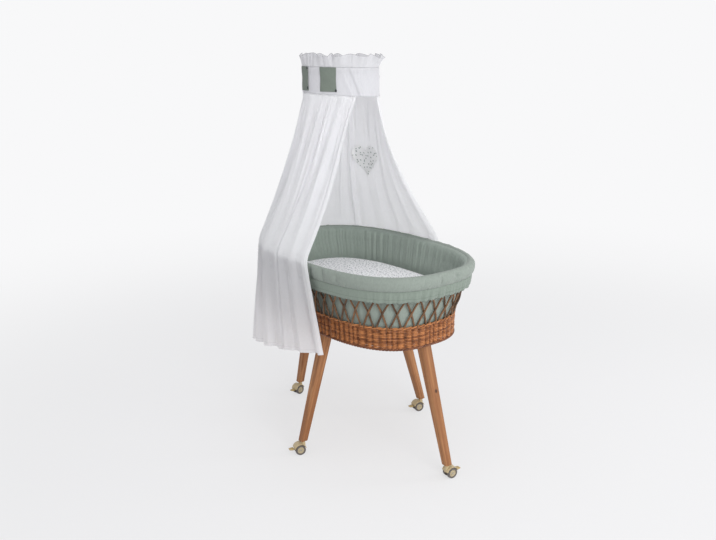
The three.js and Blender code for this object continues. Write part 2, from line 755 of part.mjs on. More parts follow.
function brakePedal() {
  const knuckle = PEDAL_THICKNESS / 2;
  const shape = new THREE.Shape();
  shape.absarc(PEDAL_PIVOT_X, PEDAL_PIVOT_Z, knuckle, Math.PI / 2, (3 * Math.PI) / 2, false);
  shape.lineTo(PEDAL_PIVOT_X + PEDAL_LENGTH, PEDAL_PIVOT_Z - knuckle * 0.5);
  shape.quadraticCurveTo(
    PEDAL_PIVOT_X + PEDAL_LENGTH + knuckle,
    PEDAL_PIVOT_Z + knuckle * 0.3,
    PEDAL_PIVOT_X + PEDAL_LENGTH * 0.9,
    PEDAL_PIVOT_Z + knuckle * 0.7,
  );
  return sidePlate(shape, PEDAL_WIDTH, 3);
}

function buildLegs() {
  for (const { name, turn, heading, reach, topX } of LEGS) {
    const side = new THREE.Group();
    side.rotation.z = radians(turn);
    bassinet.add(side);
    add(`leg_${name}`, leg(reach, topX), "wood", side);
    add(`leg_plate_${name}`, legPlate(topX), "steel", side);
    const castor = new THREE.Group();
    castor.position.set(reach * Math.cos(radians(turn)), reach * Math.sin(radians(turn)), 0);
    castor.rotation.z = radians(heading);
    bassinet.add(castor);
    add(`castor_stem_${name}`, castorStem(), "steel", castor);
    add(`castor_hood_${name}`, castorHood(), "creamPlastic", castor);
    add(`castor_axle_${name}`, castorAxle(), "steel", castor);
    add(`wheel_left_${name}`, castorWheel(1), "creamPlastic", castor);
    add(`wheel_right_${name}`, castorWheel(-1), "creamPlastic", castor);
    add(`brake_pedal_${name}`, brakePedal(), "creamPlastic", castor);
  }
}

// Canopy

const SASH_TOP = CANOPY_TOP - HEADER_HEIGHT;
const SASH_BOTTOM = SASH_TOP - SASH_HEIGHT;
const HOOP_HEIGHT = SASH_TOP - HOOP_BELOW_HEADER;
const CLOTH_INSIDE = CANOPY_RADIUS + HOOP_ROD_RADIUS + GAP;
const COVER_OUT = COVER_PAD + 1;
const CURTAIN_RIM = COVER_TOP + ROD_BEND / 2; // where the cloth turns over the rim and the rod
const HOOP_STATIONS = 36;

// A ring round the hoop's axis whose section may change from place to place.
function roundHoop(stations, sectionAt) {
  const rings = [];
  for (let i = 0; i < stations; i++) {
    const angle = (i / stations) * 2 * Math.PI;
    rings.push(
      sectionAt(angle).map(([radius, z]) => [
        CANOPY_X + radius * Math.cos(angle),
        radius * Math.sin(angle),
        z,
      ]),
    );
  }
  return ringBody(rings, true);
}

function sash() {
  return roundHoop(HOOP_STATIONS, () => [
    [CLOTH_INSIDE, SASH_BOTTOM],
    [CLOTH_INSIDE + CLOTH, SASH_BOTTOM],
    [CLOTH_INSIDE + CLOTH, SASH_TOP],
    [CLOTH_INSIDE, SASH_TOP],
  ]);
}

function header() {
  const bottom = SASH_TOP + GAP;
  return roundHoop(HEADER_GATHERS * 3, (angle) => {
    const wave = HEADER_WAVE * Math.sin(angle * HEADER_GATHERS);
    const levels = [
      [CLOTH_INSIDE, wave * 0.3, bottom],
      [CLOTH_INSIDE + HEADER_FLARE * 0.35, wave * 0.7, mix(bottom, CANOPY_TOP, 0.5)],
      [CLOTH_INSIDE + HEADER_FLARE, wave, CANOPY_TOP],
    ];
    const inside = levels.map(([radius, fold, z]) => [radius + fold, z]);
    const outside = levels.map(([radius, fold, z]) => [radius + fold + CLOTH, z]);
    return [...inside, ...outside.reverse()];
  });
}

function strap(angle) {
  const inner = CLOTH_INSIDE + CLOTH + GAP;
  const halfTurn = STRAP_WIDTH / 2 / inner;
  const columns = 6;
  const grid = (radius) =>
    [SASH_TOP, SASH_TOP - STRAP_HEIGHT].map((z) => {
      const row = [];
      for (let c = 0; c <= columns; c++) {
        const at = radians(angle) + mix(-halfTurn, halfTurn, c / columns);
        row.push([CANOPY_X + radius * Math.cos(at), radius * Math.sin(at), z]);
      }
      return row;
    });
  return sheetBody(grid(inner + CLOTH), grid(inner));
}

const ROD_X = -(wallSize(RIM_HEIGHT)[0] + COVER_OUT + ROD_CLEARANCE + ROD_RADIUS);
const ROD_TOP_X = CANOPY_X - CANOPY_RADIUS + ROD_RADIUS - HOOP_ROD_RADIUS;
const ROD_TOP_CORNER = SASH_BOTTOM - ROD_BELOW_SASH;

// The curtain. Its share runs from the near free edge round the head end to the far one.

const LEVELS_OVER_RIM = 4;
const LEVELS_UNDER_RIM = 3;
const CURTAIN_LEVELS = LEVELS_OVER_RIM + LEVELS_UNDER_RIM;
const CURTAIN_TOP = SASH_BOTTOM - GAP;
const CURTAIN_COLUMNS = 52;
const CURTAIN_PANELS = [
  { name: "near", first: 0, last: 18 },
  { name: "head", first: 18, last: 33 },
  { name: "far", first: 33, last: CURTAIN_COLUMNS },
];
const RIM_HALF = wallSize(RIM_HEIGHT).map((half) => half + COVER_OUT + CURTAIN_RIM_CLEARANCE + FOLD_AT_RIM);
const HEM_HALF = RIM_HALF.map((half) => half + CURTAIN_HEM_FLARE);
const RIM_EDGES = [1 - shareAtX(RIM_HALF[0], NEAR_EDGE_RIM_X), shareAtX(RIM_HALF[0], FAR_EDGE_RIM_X)];
const HEM_EDGES = [1 - shareAtX(HEM_HALF[0], NEAR_EDGE_HEM_X), shareAtX(HEM_HALF[0], FAR_EDGE_HEM_X)];

function hemHeight(share) {
  return HEM_LOW + HEM_RISE * Math.abs(1 - 2 * share) ** 1.3;
}

// How far up from the rim to the sash a height is, and how far down from the rim to the hem.
function curtainReach(share, z) {
  return {
    high: clamp((z - CURTAIN_RIM) / (SASH_BOTTOM - CURTAIN_RIM)),
    low: clamp((CURTAIN_RIM - z) / (CURTAIN_RIM - hemHeight(share))),
  };
}

function curtainLine(share, z) {
  const { high, low } = curtainReach(share, z);
  const angle = radians(mix(NEAR_EDGE_ANGLE, FAR_EDGE_ANGLE - 360, share));
  const radius = CLOTH_INSIDE + CLOTH / 2;
  const [rimX, rimY] = ovalSpot(...RIM_HALF, mix(...RIM_EDGES, share), z);
  const [hemX, hemY] = ovalSpot(...HEM_HALF, mix(...HEM_EDGES, share), z);
  const x = mix(mix(rimX, hemX, low), CANOPY_X + radius * Math.cos(angle), high);
  const y = mix(mix(rimY, hemY, low), radius * Math.sin(angle), high);
  return new THREE.Vector2(x, y);
}

// How far out of its free line the cloth is held where the rod stands inside it.
function rodReach(point, z) {
  const lean = clamp((z - CURTAIN_RIM) / (ROD_TOP_CORNER - CURTAIN_RIM));
  const room = ROD_RADIUS + GAP + SOCKET_WALL + CLOTH;
  return point.x - (mix(ROD_X, ROD_TOP_X, lean) - room);
}

function curtainSpot(share, z, out) {
  const step = 0.002;
  const point = curtainLine(share, z);
  const along = curtainLine(Math.min(1, share + step), z).sub(curtainLine(Math.max(0, share - step), z));
  const normal = new THREE.Vector2(-along.y, along.x).normalize();
  if (normal.dot(new THREE.Vector2(point.x - CANOPY_X, point.y)) < 0) normal.negate();
  const { high, low } = curtainReach(share, z);
  const depth = mix(mix(FOLD_AT_RIM, FOLD_AT_HEM, low), FOLD_AT_HOOP, high);
  const sag = CURTAIN_SAG * 4 * high * (1 - high);
  const fold = depth * Math.cos(share * CURTAIN_FOLDS * 2 * Math.PI) - sag;
  const nearRod = point.x < CANOPY_X ? Math.exp(-((point.y / (8 * ROD_RADIUS)) ** 4)) : 0;
  const push = nearRod * Math.max(0, rodReach(point, z) - fold);
  point.addScaledVector(normal, fold + push + out);
  return [point.x, point.y, z];
}

// The height of a level of the curtain, counted down from its top. One level is the rim.
function levelHeight(level, share) {
  if (level <= LEVELS_OVER_RIM) return mix(CURTAIN_TOP, CURTAIN_RIM, level / LEVELS_OVER_RIM);
  return mix(CURTAIN_RIM, hemHeight(share), (level - LEVELS_OVER_RIM) / LEVELS_UNDER_RIM);
}

function curtainGrid(out, first = 0, last = CURTAIN_COLUMNS) {
  const rows = [];
  for (let level = 0; level <= CURTAIN_LEVELS; level++) {
    const row = [];
    for (let c = first; c <= last; c++) {
      const share = c / CURTAIN_COLUMNS;
      row.push(curtainSpot(share, levelHeight(level, share), out));
    }
    rows.push(row);
  }
  return rows;
}

// Pulls an end of every row back from the seam to the next panel.
function trimSeam(rows, end) {
  for (const row of rows) {
    const at = end === "last" ? row.length - 1 : 0;
    const next = end === "last" ? at - 1 : 1;
    const [x, y, z] = row[at];
    const away = new THREE.Vector3(...row[next]).sub(new THREE.Vector3(x, y, z)).setLength(GAP / 2);
    row[at] = [x + away.x, y + away.y, z + away.z];
  }
  return rows;
}

// The curtain is sewn from a panel at each side and one round the head end.
function curtainPanel({ first, last }) {
  const faces = [CLOTH / 2, -CLOTH / 2].map((out) => {
    const rows = curtainGrid(out, first, last);
    if (first > 0) trimSeam(rows, "first");
    if (last < CURTAIN_COLUMNS) trimSeam(rows, "last");
    return rows;
  });
  return sheetBody(...faces);
}

// A spot on a grid of points, between its corners.
function onGrid(rows, row, column) {
  const r = Math.min(rows.length - 2, Math.max(0, Math.floor(row)));
  const c = Math.min(rows[0].length - 2, Math.max(0, Math.floor(column)));
  return [0, 1, 2].map((axis) =>
    mix(
      mix(rows[r][c][axis], rows[r][c + 1][axis], column - c),
      mix(rows[r + 1][c][axis], rows[r + 1][c + 1][axis], column - c),
      row - r,
    ),
  );
}

// A heart of width 1 about its middle, from its notch round to it again.
function heartSpot(angle, scale) {
  const x = 16 * Math.sin(angle) ** 3;
  const y = 13 * Math.cos(angle) - 5 * Math.cos(2 * angle) - 2 * Math.cos(3 * angle) - Math.cos(4 * angle);
  return [(x / 32) * scale, ((y + 2.5) / 32) * scale];
}

// The heart patch lies on the inner face of the curtain.
function heartPatch() {
  const faceOf = (out) => {
    const grid = curtainGrid(out);
    const rowHeight = (CURTAIN_TOP - CURTAIN_RIM) / LEVELS_OVER_RIM;
    const centreRow = PATCH_DROP / rowHeight;
    const centreColumn = PATCH_SHARE * CURTAIN_COLUMNS;
    const here = onGrid(grid, centreRow, centreColumn);
    const next = onGrid(grid, centreRow, centreColumn + 1);
    const columnWidth = Math.hypot(next[0] - here[0], next[1] - here[1]);
    return (across, up) => onGrid(grid, centreRow - up / rowHeight, centreColumn + across / columnWidth);
  };
  const ringsOn = (out) => {
    const spot = faceOf(out);
    const points = 20;
    return [0.35, 0.7, 1].map((scale) => {
      const ring = [];
      for (let i = 0; i < points; i++) {
        ring.push(spot(...heartSpot((i / points) * 2 * Math.PI, PATCH_WIDTH * scale)));
      }
      return ring;
    });
  };
  const sewn = ringsOn(-CLOTH / 2 - PATCH_CLEARANCE);
  const shown = ringsOn(-CLOTH / 2 - PATCH_CLEARANCE - CLOTH / 2);
  return ringBody([...sewn, ...shown.reverse()], false);
}

function buildCanopy() {
  const hoop = new THREE.TorusGeometry(CANOPY_RADIUS, HOOP_ROD_RADIUS, 5, HOOP_STATIONS);
  add("canopy_hoop", hoop.translate(CANOPY_X, 0, HOOP_HEIGHT), "whiteMetal");
  add("canopy_header", header(), "whiteCloth");
  add("canopy_sash", sash(), "whiteCloth");
  for (const panel of CURTAIN_PANELS) add(`curtain_${panel.name}`, curtainPanel(panel), "whiteCloth");
  add("heart_patch", heartPatch(), "sheetCloth");
  STRAP_ANGLES.forEach((angle, i) => add(`sash_loop_${i + 1}`, strap(angle), "sageCloth"));
  add("canopy_rod", canopyRod(), "whiteMetal");
}

const SOCKET_BOTTOM = BASKET_BOTTOM + SOCKET_RISE;
const SOCKET_TOP = SOCKET_BOTTOM + SOCKET_LENGTH;
const KNOB_HEIGHT = SOCKET_TOP - KNOB_DROP;

// The rod stands upright behind the basket, leans over it, and stands upright again at the hoop.
function canopyRod() {
  const bottom = SOCKET_BOTTOM + SOCKET_FLOOR + GAP;
  const top = HOOP_HEIGHT - HOOP_ROD_RADIUS - GAP;
  const at = (x, z) => new THREE.Vector3(x, 0, z);
  const corners = [at(ROD_X, CURTAIN_RIM), at(ROD_TOP_X, ROD_TOP_CORNER)];
  const lean = corners[1].clone().sub(corners[0]).normalize().multiplyScalar(ROD_BEND);
  const path = new THREE.CurvePath();
  const afterFirst = corners[0].clone().add(lean);
  const beforeSecond = corners[1].clone().sub(lean);
  const beforeFirst = at(ROD_X, CURTAIN_RIM - ROD_BEND);
  const afterSecond = at(ROD_TOP_X, ROD_TOP_CORNER + ROD_BEND);
  path.add(new THREE.LineCurve3(at(ROD_X, bottom), beforeFirst));
  path.add(new THREE.QuadraticBezierCurve3(beforeFirst, corners[0], afterFirst));
  path.add(new THREE.LineCurve3(afterFirst, beforeSecond));
  path.add(new THREE.QuadraticBezierCurve3(beforeSecond, corners[1], afterSecond));
  path.add(new THREE.LineCurve3(afterSecond, at(ROD_TOP_X, top)));
  const circle = new THREE.Shape().absarc(0, 0, ROD_RADIUS, 0, 2 * Math.PI, false);
  return new THREE.ExtrudeGeometry(circle, { steps: 26, curveSegments: 4, extrudePath: path });
}

// The holder is a plate on the wicker band, two arms and a socket for the rod.
function rodBracket() {
  const outer = ROD_RADIUS + GAP + SOCKET_WALL;
  const widest = Math.max(wallSize(BASKET_BOTTOM)[0], wallSize(BAND_TOP)[0]);
  const plateX = -(widest + WALL / 2 + WEAVE_RELIEF + GAP);
  const plateLow = BAND_BOTTOM;
  const half = BRACKET_ARM_WIDTH / 2;
  const arm = (z) => box(ROD_X, plateX - 1, -half, half, z, z + BRACKET_ARM_THICKNESS);
  const plateHalf = BRACKET_PLATE_WIDTH / 2;
  const plate = box(plateX - BRACKET_PLATE_THICKNESS, plateX, -plateHalf, plateHalf, plateLow, BAND_TOP);
  const socket = upright(outer, SOCKET_BOTTOM, SOCKET_TOP, 12, ROD_X);
  const whole = join([plate, arm(plateLow + 4), arm(BAND_TOP - 4 - BRACKET_ARM_THICKNESS), socket]);
  const bore = upright(ROD_RADIUS + GAP, SOCKET_BOTTOM + SOCKET_FLOOR, SOCKET_TOP + 1, 12, ROD_X);
  const screw = new THREE.CylinderGeometry(KNOB_SCREW_RADIUS + GAP, KNOB_SCREW_RADIUS + GAP, outer * 2, 8);
  screw.translate(0, -outer, 0);
  return cut(whole, [bore, atKnob(screw)]);
}

// Puts what was made beside the Z axis, towards -Y, in the knob's place on the socket.
function atKnob(geometry) {
  return geometry.rotateZ(radians(KNOB_TURN)).translate(ROD_X, 0, KNOB_HEIGHT);
}

// A lobed hand knob on the side of the socket.
function clampKnob() {
  const lobed = new THREE.Shape();
  const points = KNOB_LOBES * 4;
  for (let i = 0; i < points; i++) {
    const angle = (i / points) * 2 * Math.PI;
    const radius = KNOB_RADIUS * (0.9 + 0.1 * Math.cos(angle * KNOB_LOBES));
    const spot = [radius * Math.cos(angle), radius * Math.sin(angle)];
    if (i === 0) lobed.moveTo(...spot);
    else lobed.lineTo(...spot);
  }
  const outer = ROD_RADIUS + GAP + SOCKET_WALL;
  const head = sidePlate(lobed, KNOB_LENGTH, 1).translate(0, -outer - GAP - KNOB_LENGTH / 2, 0);
  const reach = KNOB_LENGTH / 2 + outer - ROD_RADIUS;
  const screw = new THREE.CylinderGeometry(KNOB_SCREW_RADIUS, KNOB_SCREW_RADIUS, reach, 8);
  screw.translate(0, -ROD_RADIUS - GAP - reach / 2, 0);
  return atKnob(join([head, screw]));
}

function buildRodHolder() {
  add("rod_bracket", rodBracket(), "steel");
  add("clamp_knob", clampKnob(), "creamPlastic");
}

buildBasket();
buildBedding();
buildLegs();
buildCanopy();
buildRodHolder();

// The origin is under the middle of the whole bassinet, on the floor.
const bounds = new THREE.Box3().setFromObject(bassinet);
const middle = bounds.getCenter(new THREE.Vector3());
bassinet.position.set(-middle.x, -middle.y, -bounds.min.z);

export default bassinet;
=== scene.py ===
# %% [markdown]
# # A wicker bassinet with a canopy
#
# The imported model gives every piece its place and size. This script dresses it: woven canes, padded
# cloth, turned and bevelled parts, and the finishes. All lengths are in metres, +X points to the
# foot end, and -Y to the near side. Two helpers that the later steps share come first: one puts an
# object into the scene, the other makes a mesh of a bmesh.

import math

import bmesh
import bpy
import numpy as np
from mathutils import Matrix, Vector


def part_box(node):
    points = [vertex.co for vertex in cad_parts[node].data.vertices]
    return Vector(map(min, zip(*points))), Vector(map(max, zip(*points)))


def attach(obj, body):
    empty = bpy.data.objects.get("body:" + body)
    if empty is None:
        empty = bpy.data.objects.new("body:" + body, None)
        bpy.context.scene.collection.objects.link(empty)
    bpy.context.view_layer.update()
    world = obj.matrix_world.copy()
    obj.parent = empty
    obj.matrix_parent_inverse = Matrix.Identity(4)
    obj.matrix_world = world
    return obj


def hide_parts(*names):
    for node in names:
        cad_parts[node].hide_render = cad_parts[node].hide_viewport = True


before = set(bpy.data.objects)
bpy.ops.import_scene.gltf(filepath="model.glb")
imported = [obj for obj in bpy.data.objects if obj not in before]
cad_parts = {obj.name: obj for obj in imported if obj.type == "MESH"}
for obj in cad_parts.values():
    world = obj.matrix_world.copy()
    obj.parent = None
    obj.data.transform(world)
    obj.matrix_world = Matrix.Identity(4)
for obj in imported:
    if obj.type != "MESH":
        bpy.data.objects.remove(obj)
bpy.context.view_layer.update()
band_low, band_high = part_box("wicker_band")
MIDDLE = Vector(((band_low[0] + band_high[0]) / 2, (band_low[1] + band_high[1]) / 2, 0))


def add_object(name, data):
    made = bpy.data.objects.new(name, data)
    bpy.context.scene.collection.objects.link(made)
    return made


def mesh_from(bm, name):
    mesh = bpy.data.meshes.new(name)
    bm.to_mesh(mesh)
    bm.free()
    return mesh


print("middle of the basket", [round(value, 4) for value in MIDDLE])

# %% [markdown]
# ## Camera
#
# A camera is a place, a direction and a lens. It could be placed by eye, but these numbers were
# solved from the basket's ovals and the four feet, so that the model falls on the photograph's own
# lines.

# %% Camera
CAMERA_PLACE = Vector((2.2759, -1.7340, 1.4551))
CAMERA_HEADING, CAMERA_TILT, CAMERA_ROLL = math.radians(53.0349), math.radians(74.5993), -0.0187839
camera = add_object("camera", bpy.data.cameras.new("camera"))
camera.data.sensor_width = 36
camera.data.lens = 39.265
aim = Matrix.Rotation(CAMERA_HEADING, 4, "Z") @ Matrix.Rotation(CAMERA_TILT, 4, "X")
aim = aim @ Matrix.Rotation(CAMERA_ROLL, 4, "Z")
camera.matrix_world = Matrix.Translation(MIDDLE + CAMERA_PLACE) @ aim
bpy.context.scene.camera = camera
print("camera at", [round(value, 3) for value in camera.location])

# %% [markdown]
# ## Helpers for materials
#
# A material is a small network of nodes. A few helpers keep the networks short: they place a node
# and fill its inputs, make a group, and make a material around a Principled shader. An input called
# i0 or i1 is taken by its number, and any other by its name.

# %% Node helpers
def fill(tree, socket, value):
    if isinstance(value, bpy.types.NodeSocket):
        tree.links.new(value, socket)
    else:
        socket.default_value = value


def node(tree, kind, **inputs):
    made = tree.nodes.new(kind)
    for name, value in inputs.items():
        by_number = name[0] == "i" and name[1:].isdigit()
        fill(tree, made.inputs[int(name[1:]) if by_number else name], value)
    return made


def maths(tree, operation, first, second=0.0):
    made = node(tree, "ShaderNodeMath", i0=first, i1=second)
    made.operation = operation
    return made.outputs[0]


def times(tree, first, second):
    return maths(tree, "MULTIPLY", first, second)


def plus(tree, first, second):
    return maths(tree, "ADD", first, second)


def less(tree, first, second):
    return maths(tree, "SUBTRACT", first, second)


def blend(tree, factor, first, second, mode="MIX"):
    made = tree.nodes.new("ShaderNodeMix")
    made.data_type = "RGBA"
    made.blend_type = mode
    for index, value in ((0, factor), (6, first), (7, second)):
        fill(tree, made.inputs[index], value)
    return made.outputs[2]


def between(tree, value, low, high):
    limits = {"From Min": low, "From Max": high}
    made = node(tree, "ShaderNodeMapRange", Value=value, **limits)
    made.interpolation_type = "SMOOTHSTEP"
    return made.outputs[0]


def vectors(tree, operation, first, second=(0.0, 0.0, 0.0)):
    made = node(tree, "ShaderNodeVectorMath", i0=first, i1=second)
    made.operation = operation
    return made.outputs


def coordinates(tree, kind):
    return tree.nodes.new("ShaderNodeTexCoord").outputs[kind]


def noise(tree, vector, scale, detail=2.0, roughness=0.5):
    inputs = {"Vector": vector, "Scale": scale, "Detail": detail, "Roughness": roughness}
    return node(tree, "ShaderNodeTexNoise", **inputs).outputs[0]


def stretch(tree, vector, x, y, z):
    return node(tree, "ShaderNodeMapping", Vector=vector, Scale=(x, y, z)).outputs[0]


def colour(text):
    channels = [int(text[i:i + 2], 16) / 255 for i in (0, 2, 4)]
    return (*[c / 12.92 if c <= 0.04045 else ((c + 0.055) / 1.055) ** 2.4 for c in channels], 1.0)


def group(name, inputs, outputs):
    tree = bpy.data.node_groups.new(name, "ShaderNodeTree")
    kinds = {"c": "NodeSocketColor", "v": "NodeSocketVector", "f": "NodeSocketFloat"}
    for title, kind in inputs.items():
        tree.interface.new_socket(title, in_out="INPUT", socket_type=kinds[kind])
    for title, kind in outputs.items():
        tree.interface.new_socket(title, in_out="OUTPUT", socket_type=kinds[kind])
    return tree, tree.nodes.new("NodeGroupInput").outputs, tree.nodes.new("NodeGroupOutput").inputs


def use_group(tree, group_tree, **inputs):
    made = tree.nodes.new("ShaderNodeGroup")
    made.node_tree = group_tree
    for name, value in inputs.items():
        fill(tree, made.inputs[name.replace("_", " ")], value)
    return made.outputs


def material(name, **shader_values):
    made = bpy.data.materials.new(name)
    made.use_nodes = True
    tree = made.node_tree
    shader = tree.nodes["Principled BSDF"]
    for title, value in shader_values.items():
        shader.inputs[title.replace("_", " ")].default_value = value
    return made, tree, shader


def connect(tree, shader, colour_from, roughness, height, distance, strength):
    tree.links.new(colour_from, shader.inputs["Base Color"])
    if roughness is not None:
        tree.links.new(roughness, shader.inputs["Roughness"])
    bump = node(tree, "ShaderNodeBump", Height=height, Distance=distance, Strength=strength)
    tree.links.new(bump.outputs[0], shader.inputs["Normal"])


def attribute(tree, name):
    made = node(tree, "ShaderNodeAttribute")
    made.attribute_name = name
    return made.outputs


print("node helpers ready")

# %% [markdown]
# ## Floor and light
#
# The studio is a pale floor that fades into white, so that no horizon shows. The fade could be a
# curved backdrop, but that would hide the object from behind, so the floor's own material turns to
# plain white with distance, for camera rays only. Near the object that white is mixed in too, which
# softens the shadow. Most of the light comes from the sky around the object. One wide lamp at the
# foot end reaches under the canopy, one overhead gives the soft shadows, and a small one on the far
# side shines through the voile.

# %% Floor
FLOOR_RADIUS = 40
SHADOW_FADE, WHITE_FADE = (0.6, 3.2), (0.8, 4.5)
NEAR_WHITE, FAR_WHITE = colour("ededee"), colour("f8f8f9")
WHITE_MIXED_IN = 0.70

bm = bmesh.new()
bmesh.ops.create_circle(bm, cap_ends=True, segments=64, radius=FLOOR_RADIUS)
floor_mesh = mesh_from(bm, "studio_floor")
studio_floor = add_object("studio_floor", floor_mesh)

floor_paint, tree, shader = material("pale floor", Roughness=0.9, Specular_IOR_Level=0.1)
shader.inputs["Base Color"].default_value = colour("eeeeef")
far = vectors(tree, "LENGTH", coordinates(tree, "Object"))["Value"]
fade = between(tree, far, *SHADOW_FADE)
seen = tree.nodes.new("ShaderNodeLightPath").outputs["Is Camera Ray"]
wide = between(tree, far, *WHITE_FADE)
white = node(tree, "ShaderNodeEmission", Color=blend(tree, wide, NEAR_WHITE, FAR_WHITE), Strength=1.0)
soft_shadow = plus(tree, WHITE_MIXED_IN, times(tree, fade, 1 - WHITE_MIXED_IN))
shown = times(tree, soft_shadow, seen)
mixed = node(tree, "ShaderNodeMixShader", i0=shown, i1=shader.outputs[0], i2=white.outputs[0])
tree.links.new(mixed.outputs[0], tree.nodes["Material Output"].inputs["Surface"])
floor_mesh.materials.append(floor_paint)
print("floor radius", FLOOR_RADIUS, "m")

# %% Sky and lamps
SKY_STRENGTH = 0.69
LAMP_AIM = Vector((0, 0, 0.7))

world = bpy.data.worlds.new("sky")
bpy.context.scene.world = world
world.use_nodes = True
tree = world.node_tree
tree.nodes.clear()
rays = tree.nodes.new("ShaderNodeLightPath").outputs
mirrored = maths(tree, "MAXIMUM", rays["Is Glossy Ray"], rays["Is Transmission Ray"])
shown = maths(tree, "MAXIMUM", rays["Is Camera Ray"], mirrored)
light = node(tree, "ShaderNodeBackground", Color=colour("fcfcff"), Strength=SKY_STRENGTH).outputs[0]
wall = node(tree, "ShaderNodeBackground", Color=FAR_WHITE, Strength=1.0).outputs[0]
sky = node(tree, "ShaderNodeMixShader", i0=shown, i1=light, i2=wall).outputs[0]
tree.links.new(sky, tree.nodes.new("ShaderNodeOutputWorld").inputs["Surface"])


def lamp(name, place, watts, size):
    data = bpy.data.lights.new(name, "AREA")
    data.shape = "DISK"
    data.size = size
    data.energy = watts
    made = add_object(name, data)
    made.location = place
    made.rotation_euler = (LAMP_AIM - place).to_track_quat("-Z", "Y").to_euler()
    made.visible_camera = False


lamp("key_lamp", Vector((3.4, -0.9, 1.8)), 60, 2.0)
lamp("top_lamp", Vector((1.2, -0.3, 3.6)), 24, 3.0)
lamp("side_lamp", Vector((1.7, 2.3, 1.2)), 16, 0.8)
bpy.context.scene.view_settings.view_transform = "Standard"
print("sky and three lamps")

# %% [markdown]
# ## The basket's oval
#
# Every ring of the basket is one squared oval that grows with height. Its points could be spaced by
# angle, but that bunches them at the ends, so a share from 0 to 1 runs round it in equal lengths.

# %% Oval and wall
POWER = 2.7
BASKET_BOTTOM, BAND_TOP, SEAM_HEIGHT, RIM_HEIGHT = 0.476, 0.557, 0.706, 0.735
RIM_SIZE = (0.442, 0.276)
FOOT_SIZE, BAND_FLARE, RIM_FLARE = (0.388, 0.233), (0.002, 0.005), (0.052, 0.038)
angle_table = np.linspace(0, 2 * math.pi, 1441)


def mix(first, second, part):
    return first + (second - first) * part


def clamp(value):
    return np.clip(value, 0, 1)


def unit_oval(angle):
    across, along = np.cos(angle), np.sin(angle)
    size = (np.abs(across) ** POWER + np.abs(along) ** POWER) ** (1 / POWER)
    return across / size, along / size


outline = np.array(unit_oval(angle_table)).T * RIM_SIZE
steps = np.linalg.norm(np.diff(outline, axis=0), axis=1)
share_table = np.concatenate(([0], np.cumsum(steps))) / steps.sum()


def oval(half_length, half_width, share):
    x, y = unit_oval(np.interp(share % 1, share_table, angle_table))
    return x * half_length, y * half_width


def wall_size(z):
    low = clamp((z - BASKET_BOTTOM) / (BAND_TOP - BASKET_BOTTOM))
    high = np.maximum(0, (z - BAND_TOP) / (RIM_HEIGHT - BAND_TOP))
    return [
        size + band * low + rim * high
        for size, band, rim in zip(FOOT_SIZE, BAND_FLARE, RIM_FLARE)
    ]


def wall_point(share, out, z):
    half_length, half_width = wall_size(z)
    x, y = oval(half_length + out, half_width + out, share)
    return np.stack([x + MIDDLE.x, y + MIDDLE.y, z + 0 * x], axis=-1)


def bump_at(share, place, width):
    away = np.abs((share - place + 0.5) % 1 - 0.5)
    return np.exp(-((away / width) ** 2))


print("rim outline is", round(float(steps.sum()), 3), "m long")

# %% [markdown]
# ## Helpers for shapes
#
# Two ways of making a surface serve almost every piece. A cane is a curve with a round bevel,
# because a curve keeps its thickness however it bends. A cloth is a flat grid whose points are
# moved to where the cloth hangs, because the grid keeps a UV map in metres for the weave to follow.
# The helper called sew makes a cloth, dresses it and gives it its thickness.

# %% Shape helpers
def put(name, mesh, paint, slot_name, body, stands_for=()):
    piece = add_object(name, mesh)
    mesh.materials.clear()
    mesh.materials.append(paint)
    mesh.shade_smooth()
    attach(piece, body)
    if stands_for:
        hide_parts(*stands_for)
    return piece


def cane_mesh(name, paths, radius, sides=8, closed=False, fronts=None):
    curve = bpy.data.curves.new(name, "CURVE")
    curve.dimensions = "3D"
    curve.bevel_depth = radius
    curve.bevel_resolution = sides // 2 - 2
    for path in paths:
        spline = curve.splines.new("POLY")
        spline.points.add(len(path) - 1)
        spline.points.foreach_set("co", np.column_stack([path, np.ones(len(path))]).ravel())
        spline.use_cyclic_u = closed
    holder = add_object(name, curve)
    bpy.context.view_layer.update()
    mesh = bpy.data.meshes.new_from_object(holder.evaluated_get(bpy.context.evaluated_depsgraph_get()))
    mesh.name = name
    bpy.data.objects.remove(holder)
    mark_canes(mesh, paths, fronts or [np.ones(len(path)) for path in paths])
    if not closed:
        bm = bmesh.new()
        bm.from_mesh(mesh)
        bmesh.ops.holes_fill(bm, edges=bm.edges)
        bm.to_mesh(mesh)
        bm.free()
    return mesh


def mark_canes(mesh, paths, fronts):
    per_point = round(len(mesh.vertices) / sum(len(path) for path in paths))
    rng = np.random.default_rng(7)
    marks = []
    for path, front in zip(paths, fronts):
        steps_along = np.linalg.norm(np.diff(path, axis=0, prepend=path[:1]), axis=1)
        along = np.repeat(np.cumsum(steps_along), per_point)
        which = np.full(len(along), rng.random())
        marks.append(np.column_stack([along, which, np.repeat(front, per_point)]))
    cane = mesh.attributes.new("cane", "FLOAT_VECTOR", "POINT")
    cane.data.foreach_set("vector", np.concatenate(marks).astype(np.float32).ravel())


